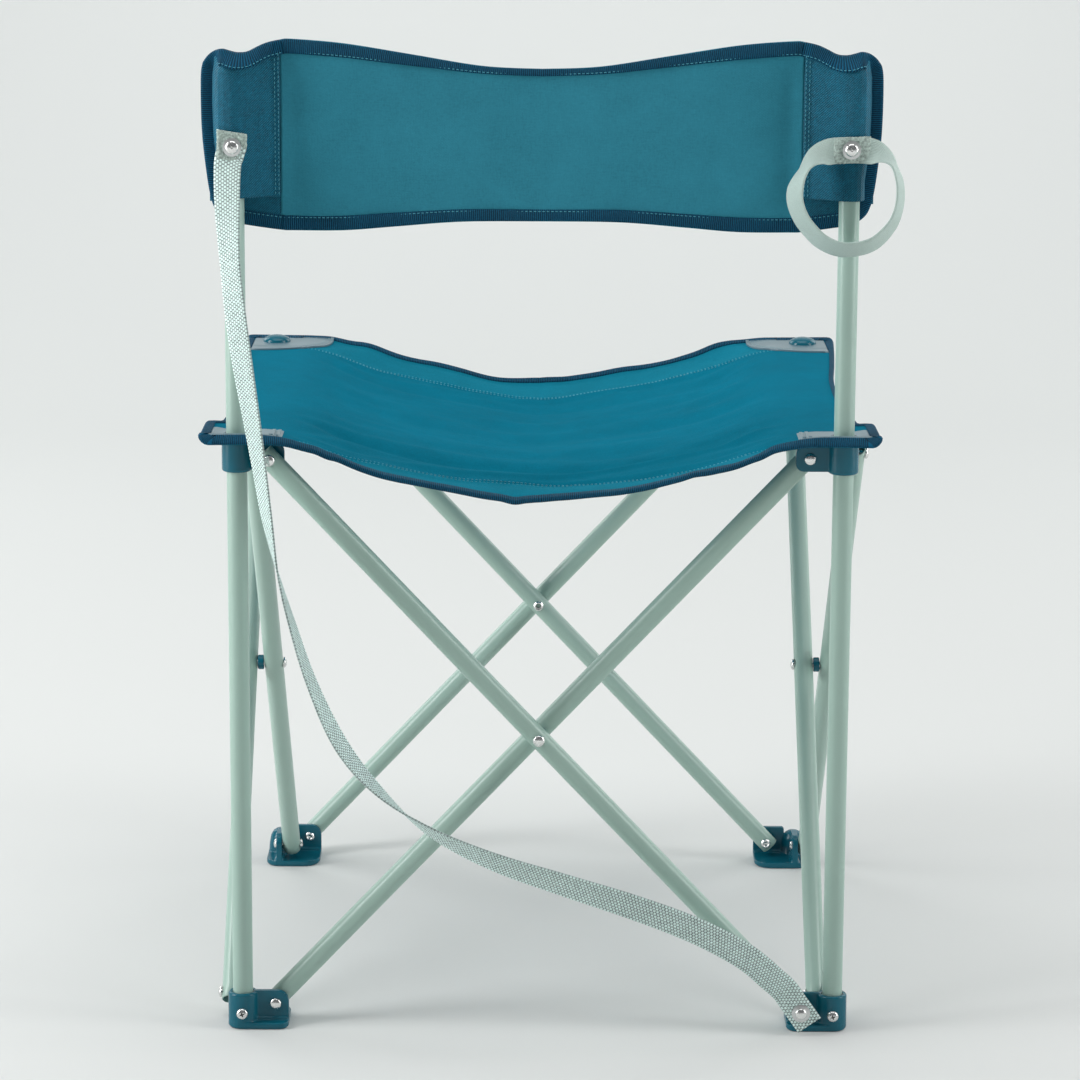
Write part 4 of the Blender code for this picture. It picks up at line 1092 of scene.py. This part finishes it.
SMOOTH_BOTTOM = smooth_route(BACK_BOTTOM + BACK_BOTTOM_END[1:], 8)
SIDE_BY_HEIGHT = [(z, x) for x, z in reversed(BACK_SIDE)]
BACK_SQUASH = ((1, 0, 0), (-PANEL_SPLIT, 0, 0), 0.251)
BACK_BINDING = 0.0112         # width of the binding round the backrest's ends
STITCH_INSET = 0.0014         # from the binding's inner edge


def back_top(x):
    return curve_at(SMOOTH_TOP, abs(x))


def back_bottom(x):
    return curve_at(SMOOTH_BOTTOM, abs(x))


def panel_depth(x, z):
    """How far the backrest's cloth stands from its plane: soft waves and draws."""
    share = min(1.0, max(0.0, (z - back_bottom(x)) / (back_top(x) - back_bottom(x))))
    free = smoothstep(0.02, 0.30, min(share, 1 - share))
    y = 0.0014 * math.sin(math.pi * share) * math.cos(x * 7.5)
    y += 0.0016 * noise.noise(Vector((x * 9, z * 11, 1.7))) * free
    y += 0.0006 * math.sin(60 * x + 14 * z) * (1 - abs(2 * share - 1))
    y += 0.0015 * bump(abs(x) - 0.190, 0.0095) * free
    y -= 0.0006 * bump(abs(x) - 0.160, 0.0180) * free
    return PANEL_Y - 0.0004 + y


def sheet_between(name, xs, rows, material, depth):
    """A sheet in XZ between the bottom and top outlines."""
    points = []
    for x in xs:
        low, high = back_bottom(x), back_top(x)
        heights = [low + (high - low) * j / rows for j in range(rows + 1)]
        points.append([(x, depth(x, z), z) for z in heights])
    return thicken(add(name, surface_mesh(name, points), material), 0.0011)


def flat_binding(line, inward, widths, depth):
    """A ribbed band folded over the backrest's edge, whose outer edge is a line in XZ."""
    thick = 0.0046
    section = [(0.0, 0.0), (0.06, 0.42), (0.2, 0.50), (0.5, 0.50), (0.8, 0.47), (0.97, 0.40), (1.0, 0.22)]
    ring = section + [(s, -h) for s, h in reversed(section)][:-1]
    at = arc_lengths(line)
    points, uv = [], []
    for i, ((x, z), (dx, dz), width) in enumerate(zip(line, inward, widths)):
        places = [(x + dx * width * s, z + dz * width * s, h) for s, h in ring]
        points.append([(px, depth(px, pz) + h * thick, pz) for px, pz, h in places])
        uv.append([(at[i], v) for v in arc_lengths([(s * width, h * thick) for s, h in ring])])
    return tidied(surface_mesh("binding", points, uv, close_across=True))


def inward_of(line, towards):
    """Unit directions square to a line in XZ, on the side of a given point."""
    made = []
    for i in range(len(line)):
        p, q = line[max(i - 1, 0)], line[min(i + 1, len(line) - 1)]
        n = np.array([-(q[1] - p[1]), q[0] - p[0]])
        n /= np.linalg.norm(n)
        if np.dot(n, np.array(towards) - np.array(line[i])) < 0:
            n = -n
        made.append(tuple(n))
    return made


def plane_depth(x, z):
    """The binding's plane, drawn in where the pole's sleeve pinches it and waved a little elsewhere."""
    pinch = bump(abs(x) - 0.2290, 0.0040) * smoothstep(0.760, 0.771, z)
    bulge = bump(abs(x) - 0.2410, 0.0055) * smoothstep(0.762, 0.773, z)
    return PANEL_Y + 0.0034 * pinch - 0.0020 * bulge + 0.0005 * math.sin(70 * x + 40 * z)


def back_stitches(name, line, body, pitch=0.0033, radius=0.00034, squash=None):
    made = stitches(name, line, (0, -1, 0), THREAD, 0.0022, pitch, radius)
    return dress(made, body, "petrol_twill", squash=squash)


def make_back_panel():
    xs = np.linspace(-PANEL_SPLIT, PANEL_SPLIT, 221)
    panel = sheet_between("backrest_panel_cloth", xs, 70, CANVAS, panel_depth)
    dress(panel, "left_post", "teal_canvas", "backrest_panel", squash=BACK_SQUASH)
    for name, outline, towards, narrow, wide in (
        ("top", back_top, (0, 0.70), 0.0056, BACK_BINDING), ("bottom", back_bottom, (0, 0.71), 0.0092, 0.0114),
    ):
        line = [(x, outline(x)) for x in xs]
        inward = inward_of(line, towards)
        widths = [narrow + (wide - narrow) * smoothstep(0.02, 0.17, abs(x)) for x in xs]
        band = add(f"backrest_{name}_binding", flat_binding(line, inward, widths, plane_depth), BINDING)
        dress(band, "left_post", "petrol_twill", squash=BACK_SQUASH)
        row = []
        for (x, z), (dx, dz), width in zip(line, inward, widths):
            inset = width - STITCH_INSET
            row.append((x + dx * inset, PANEL_Y - 0.0019, z + dz * inset))
        back_stitches(f"backrest_{name}_stitches", row, "left_post", squash=BACK_SQUASH)


# The sleeve's section from its outer seam round the pole to its inner seam: offsets from the pole's axis.
SLEEVE_SECTION = [
    (0.0180, 0.0074), (0.0176, 0.0042), (0.0166, 0.0004), (0.0149, -0.0036), (0.0118, -0.0070), (0.0072, -0.0090),
    (0.0010, -0.0096), (-0.0050, -0.0084), (-0.0110, -0.0052), (-0.0175, -0.0012), (-0.0240, 0.0026),
    (-0.0285, 0.0052), (-0.0320, 0.0064), (-0.0352, 0.0066),
]
SLEEVE_REACH = SLEEVE_SECTION[0][0]


def sleeve_width(z):
    """How far out from the pole's axis the sleeve's outer seam is at a height."""
    return min(SLEEVE_REACH, max(0.0122, curve_at(SIDE_BY_HEIGHT, z) - 0.0088 - HALF))


def sleeve_depth(x, z):
    """The sleeve's face at a place: round the pole below, closing to the backrest's plane at its top."""
    offset = abs(x) - HALF
    if offset > 0:
        offset *= SLEEVE_REACH / sleeve_width(z)
    base = PANEL_Y - 0.0016
    close = smoothstep(0.7608, back_top(x) + 0.0010, z)
    return base - (base + HALF - curve_at(SLEEVE_SECTION[::-1], offset)) * (1 - close)


def end_depth(x, z):
    """The plane of the binding round the backrest's end, which passes over the pole's sleeve at the top."""
    plane, offset = plane_depth(x, z), abs(x) - HALF
    beside = smoothstep(-0.036, -0.030, offset) * (1 - smoothstep(0.0085, 0.0145, offset))
    over = smoothstep(0.750, 0.759, z) * beside
    return plane + over * min(0.0, sleeve_depth(x, z) - 0.0020 - plane)


def sleeve_cover(name, sx):
    """The sleeve's cloth, wrapped round the pole between its two seams."""
    low, rows, nominal_top = SLEEVE_BOTTOM, 80, 0.772
    section = resample(SLEEVE_SECTION, 90)
    points = []
    for j in range(rows + 1):
        t = j / rows
        reach = sleeve_width(low + (nominal_top - low) * t) / SLEEVE_REACH
        line = []
        for k, (px, _) in enumerate(section):
            x = HALF + px * (reach if px > 0 else 1.0)
            z = low + (back_top(x) - 0.0040 - low) * t
            loose = math.sin(math.pi * min(1, k / 60))
            wave = 0.0008 * (1 + noise.noise(Vector((px * 50 * sx, z * 20, 5.0 + sx)))) * loose
            pleat = 0.0006 * math.sin(430 * (x - 0.2290)) * smoothstep(0.750, 0.768, z) * loose
            line.append((sx * x, sleeve_depth(x, z) - wave * (1 - smoothstep(0.76, 0.77, z)) + pleat, z))
        points.append(line if sx > 0 else line[::-1])
    return thicken(add(name, surface_mesh("sleeve", points), TWILL), 0.0010, -1)


def make_sleeve(name, sx):
    node, body = f"backrest_sleeve_{name}", f"{name}_post"
    xs = [sx * x for x in np.linspace(PANEL_SPLIT, 0.2540, 40)]
    end = sheet_between(f"{node}_end_cloth", xs, 60, TWILL, plane_depth)
    dress(end, body, "petrol_twill")
    cover = sleeve_cover(f"{node}_cloth", sx)
    dress(cover, body, "petrol_twill", node)
    line = smooth_route(BACK_TOP_END, 6) + smooth_route(BACK_SIDE, 10)[1:-1]
    line += smooth_route(BACK_BOTTOM_END, 6)[::-1]
    line = [tuple(p) for p in resample([(sx * x, z) for x, z in line], 220)]
    inward = smooth_directions(inward_of(line, (sx * 0.225, 0.712)), 6)
    band = flat_binding(line, inward, [BACK_BINDING] * len(line), end_depth)
    band = add(f"{node}_binding", band, BINDING)
    dress(band, body, "petrol_twill")
    inset = BACK_BINDING - STITCH_INSET
    row = [(x + dx * inset, z + dz * inset) for (x, z), (dx, dz) in zip(line, inward)]
    back_stitches(f"{node}_edge_stitches", [(x, end_depth(x, z) - 0.0021, z) for x, z in row], body)
    # rows of stitches down the sleeve's inner flange
    for k, x in enumerate((0.2008, 0.2035, 0.2078)):
        heights = np.linspace(SLEEVE_BOTTOM + 0.001, back_top(x) - 0.009, 40)
        row = [(sx * x, -HALF + 0.0056, z) for z in heights]
        back_stitches(f"{node}_seam_{k}", row, body, 0.0034, 0.00036)


def smooth_directions(directions, passes):
    """Unit directions averaged with their neighbours, so that a band turns a corner evenly."""
    d = np.array(directions)
    for _ in range(passes):
        d[1:-1] = (d[:-2] + 2 * d[1:-1] + d[2:]) / 4
    d /= np.linalg.norm(d, axis=1, keepdims=True)
    return [tuple(v) for v in d]


make_back_panel()
for name, side_x in SIDES.items():
    make_sleeve(name, side_x)
    paint(NODES[f"{name}_pole_end_plug"].data, PLASTIC)


# ---------------------------------------------------------------- strap and loop
def strap_directions(route, turns):
    """The strap's width direction at each point: level and square to its run, then turned round its run."""
    across = []
    for i, turn in enumerate(turns):
        ahead = heading(route, i)
        level = ahead.cross((0, -1, 0)).normalized()
        across.append(Matrix.Rotation(math.radians(turn), 3, ahead) @ level)
    return across


def round_rivet(name, x, y, body, node):
    """A blind rivet's bright dome on its flat grey flange."""
    thick, stem, depth = 0.0007, 0.0020, -0.008
    flange = [(0, thick), (0.0060, thick), (0.0070, 0.0005), (0.0071, 0), (stem, 0), (stem, depth), (0, depth)]
    crown = [(0, 0.0027), (0.0006, 0.0028), (0.0010, 0.0033)]     # the small hollow that its pin leaves
    head = crown + [(r, thick + z) for r, z in dome(0.0052, 0.0027, 8)[3:]] + [(0, 0.0006)]
    place = Matrix.Translation((x, y, FIXING_HEIGHT)) @ FACING_REAR
    base = add(f"{name}_flange", lathe("flange", flange), DULL_ZINC, place, False)
    top = add(f"{name}_head", lathe("head", head), ZINC, place, False)
    return [dress(base, body, "bright_zinc", node), dress(top, body, "bright_zinc")]


def fused_patch(name, centre, size, skew, body, slot, taper=0.0):
    """A rough pressed patch of band round a rivet, with ragged edges: XZ size, facing -Y."""
    (cx, y, cz), (width, height) = centre, size
    columns, rows = 44, 34
    points = []
    for i in range(columns + 1):
        line = []
        for j in range(rows + 1):
            u, v = i / columns - 0.5, j / rows - 0.5
            ragged = 0.0006 * noise.noise(Vector((u * 30, v * 30, 2.0)))
            rim = min(0.5 - abs(u), 0.5 - abs(v))
            rough = 0.00045 * noise.noise(Vector((u * 26, v * 20, 9.0)))
            rough += 0.0002 * noise.noise(Vector((u * 70, v * 60, 4.0)))
            dip = 0.0006 * bump(math.hypot(u * width, v * height) - 0.0078, 0.0016)
            narrowing = taper * smoothstep(0.1, -0.5, v)
            x = cx + u * width * (1 - narrowing) - narrowing * 0.016 + ragged
            z = cz + v * height - skew * u * width + ragged
            line.append((x, y - 0.0007 * min(1.0, rim * 12) - rough + dip, z))
        points.append(line)
    return dress(thicken(add(name, surface_mesh(name, points), FUSED), 0.0008), body, slot)


def make_strap():
    steps, gap = 6, 0.0003
    route = smooth_route(STRAP_ROUTE, steps)
    turns = [t[0] for t in smooth_route([(t,) for t in STRAP_TURN], steps)]
    mesh = band_mesh("strap", route, strap_directions(route, turns), STRAP_WIDTH, STRAP_THICK)
    strap = add("carry_strap_webbing", mesh, WEBBING)
    for v in mesh.vertices:                           # the cut top end is skewed and spread a little
        lift = smoothstep(0.700, 0.715, v.co.z)
        v.co.z += lift * 0.16 * (-HALF - v.co.x)
        v.co.x = -HALF + (v.co.x + HALF) * (1 + 0.06 * lift)
    dress(strap, "left_post", "sage_webbing", "carry_strap", squash=((1, 0, 0), (-HALF, 0, 0), 0.327))
    surface = STRAP_ROUTE[0][1] - STRAP_THICK / 2 - gap
    centre, size = (-HALF, surface + 0.0004, FIXING_HEIGHT + 0.0008), (0.0226, 0.0215)
    patch = fused_patch("carry_strap_fused_end", centre, size, 0.14, "left_post", "sage_webbing", 0.12)
    rivet = round_rivet("strap_rivet", -HALF, surface - 0.0005, "left_post", "strap_rivet")
    half, inner, outer = 0.0005, 0.0027, 0.0073
    washer = [(inner, half), (0.0068, half), (outer, 0.0002), (outer, -half), (inner, -half), (inner, half)]
    y = STRAP_ROUTE[-1][1] - STRAP_THICK / 2 - gap - half
    place = Matrix.Translation((HALF - EAR_OFFSET, y, PIVOT_LOW))
    look("strap_washer", lathe("washer", washer), DULL_ZINC, "bright_zinc", place @ FACING_REAR)


# The loop's middle line from its rivet and back: (right, rearwards, up) of the rivet, and the turn of the
# band's width from level.
LOOP_ROUTE = [
    (0.000, 0.0000, 0.0000, 90), (-0.0130, 0.0000, -0.0007, 94), (-0.0220, 0.0010, -0.0030, 120),
    (-0.0290, 0.0038, -0.0068, 150), (-0.0352, 0.0072, -0.0128, 169), (-0.0402, 0.0098, -0.0205, 162),
    (-0.0430, 0.0118, -0.0285, 150), (-0.0432, 0.0130, -0.0370, 146), (-0.0403, 0.0140, -0.0465, 145),
    (-0.0345, 0.0150, -0.0560, 144), (-0.0220, 0.0160, -0.0682, 142), (-0.0050, 0.0165, -0.0740, 141),
    (0.0155, 0.0160, -0.0700, 143), (0.0292, 0.0150, -0.0573, 150), (0.0350, 0.0138, -0.0450, 156),
    (0.0368, 0.0120, -0.0325, 159), (0.0356, 0.0096, -0.0205, 163), (0.0312, 0.0064, -0.0105, 168),
    (0.0235, 0.0026, -0.0038, 142), (0.0130, 0.0003, -0.0006, 98), (0.000, 0.0000, 0.0000, 90),
]


def make_loop():
    start_y = -HALF - 0.0106 - LOOP_THICK / 2
    line = smooth_route(LOOP_ROUTE, 8)
    route = [Vector((HALF + x, start_y - y, FIXING_HEIGHT + z)) for x, y, z, _ in line]
    middle = Vector((HALF, 0, FIXING_HEIGHT - 0.036))
    across = []
    for i, (_, _, _, tilt) in enumerate(line):
        away = Vector((0, 1, 0)).cross(heading(route, i)).normalized()
        if away.dot(route[i] - middle) < 0:           # outwards from the loop, square to its run
            away = -away
        t = math.radians(tilt)
        across.append(away * math.sin(t) + Vector((0, -1, 0)) * math.cos(t))
    loop = add("elastic_loop_band", band_mesh("loop", route, across, LOOP_WIDTH, LOOP_THICK), ELASTIC)
    dress(loop, "right_post", "sage_elastic", "elastic_loop")
    surface = start_y - LOOP_THICK / 2 - 0.0003
    centre, size = (HALF + 0.0004, surface + 0.0003, FIXING_HEIGHT), (0.0280, 0.0198)
    patch = fused_patch("elastic_loop_fused_end", centre, size, -0.05, "right_post", "sage_elastic")
    rivet = round_rivet("loop_rivet", HALF, surface - 0.0006, "right_post", "loop_rivet")


make_strap()
make_loop()


# ---------------------------------------------------------------- floor, backdrop and light
def make_stage():
    """A pale floor that rises in a wide curve into the backdrop."""
    flat_end, radius, wide, high = 2.4, 1.5, 9.0, 6.0
    turns = np.linspace(0.05, math.pi / 2, 24)
    curve = [(flat_end + radius * math.sin(t), radius * (1 - math.cos(t))) for t in turns]
    profile = [(-wide, 0.0), (flat_end, 0.0)] + curve + [(flat_end + radius, high)]
    points = [[(x, y, z) for x in (-wide, -3.0, 3.0, wide)] for y, z in profile]
    s = Shader("studio_paper", (0.60, 0.61, 0.60), 0.9, specular=0.05)
    s.tint([(s.noise(1.5, 2), 0.02, 0.5)])
    s.fill(s.bsdf, Emission_Color=(0.93, 0.97, 0.96, 1))

    def ramp(distance, start, slope, top):
        """Rises from 0 at a start to a top value, at a slope."""
        raised = s.math("MAXIMUM", s.math("MULTIPLY", s.math("SUBTRACT", distance, start), slope), 0.0)
        return s.math("MINIMUM", raised, top)

    # the paper glows where the lamps don't reach it: at the back, and further out at the sides and the front
    behind = ramp(s.axes[1], 0.2, 0.093, 0.31)
    beside = ramp(s.math("ABSOLUTE", s.axes[0]), 1.5, 0.30, 0.62)
    before = ramp(s.math("MULTIPLY", s.axes[1], -1.0), 0.8, 0.30, 0.62)
    glow = s.math("ADD", s.math("MAXIMUM", behind, s.math("MAXIMUM", beside, before)), 0.08)
    s.fill(s.bsdf, Emission_Strength=glow)
    add("studio_sweep", surface_mesh("sweep", points), s.material)


def area_light(name, location, target, size, power):
    data = bpy.data.lights.new(name, "AREA")
    data.shape, data.size, data.size_y = "RECTANGLE", size[0], size[1]
    data.energy = power
    light = bpy.data.objects.new(name, data)
    bpy.context.scene.collection.objects.link(light)
    light.visible_camera = False
    way = Vector(target) - Vector(location)
    light.matrix_world = Matrix.Translation(location) @ way.to_track_quat("-Z", "Y").to_matrix().to_4x4()


def make_lights():
    world = bpy.data.worlds.new("studio")
    bpy.context.scene.world = world
    world.use_nodes = True
    tree = world.node_tree
    ambient = tree.nodes["Background"]
    ambient.inputs["Color"].default_value = (0.93, 0.97, 1.0, 1)
    ambient.inputs["Strength"].default_value = 0.17
    seen = tree.nodes.new("ShaderNodeBackground")
    seen.inputs["Color"].default_value = (0.78, 0.80, 0.79, 1)
    choose = tree.nodes.new("ShaderNodeMixShader")
    tree.links.new(tree.nodes.new("ShaderNodeLightPath").outputs["Is Camera Ray"], choose.inputs["Fac"])
    tree.links.new(ambient.outputs[0], choose.inputs[1])
    tree.links.new(seen.outputs[0], choose.inputs[2])
    tree.links.new(choose.outputs[0], tree.nodes["World Output"].inputs["Surface"])
    area_light("key_left", (-2.4, -0.75, 1.3), (0, 0, 0.4), (0.9, 2.4), 64)
    area_light("fill_right", (2.4, -0.75, 1.3), (0, 0, 0.4), (0.9, 2.4), 36)
    area_light("back_left", (-1.9, 1.9, 1.6), (0, 0, 0.4), (1.2, 1.6), 14)
    area_light("back_right", (1.9, 1.9, 1.6), (0, 0, 0.4), (1.2, 1.6), 10)
    area_light("top", (0, -0.1, 2.9), (0, 0.1, 0), (2.2, 2.2), 32)
    bpy.context.scene.view_settings.view_transform = "Standard"


make_stage()
make_lights()
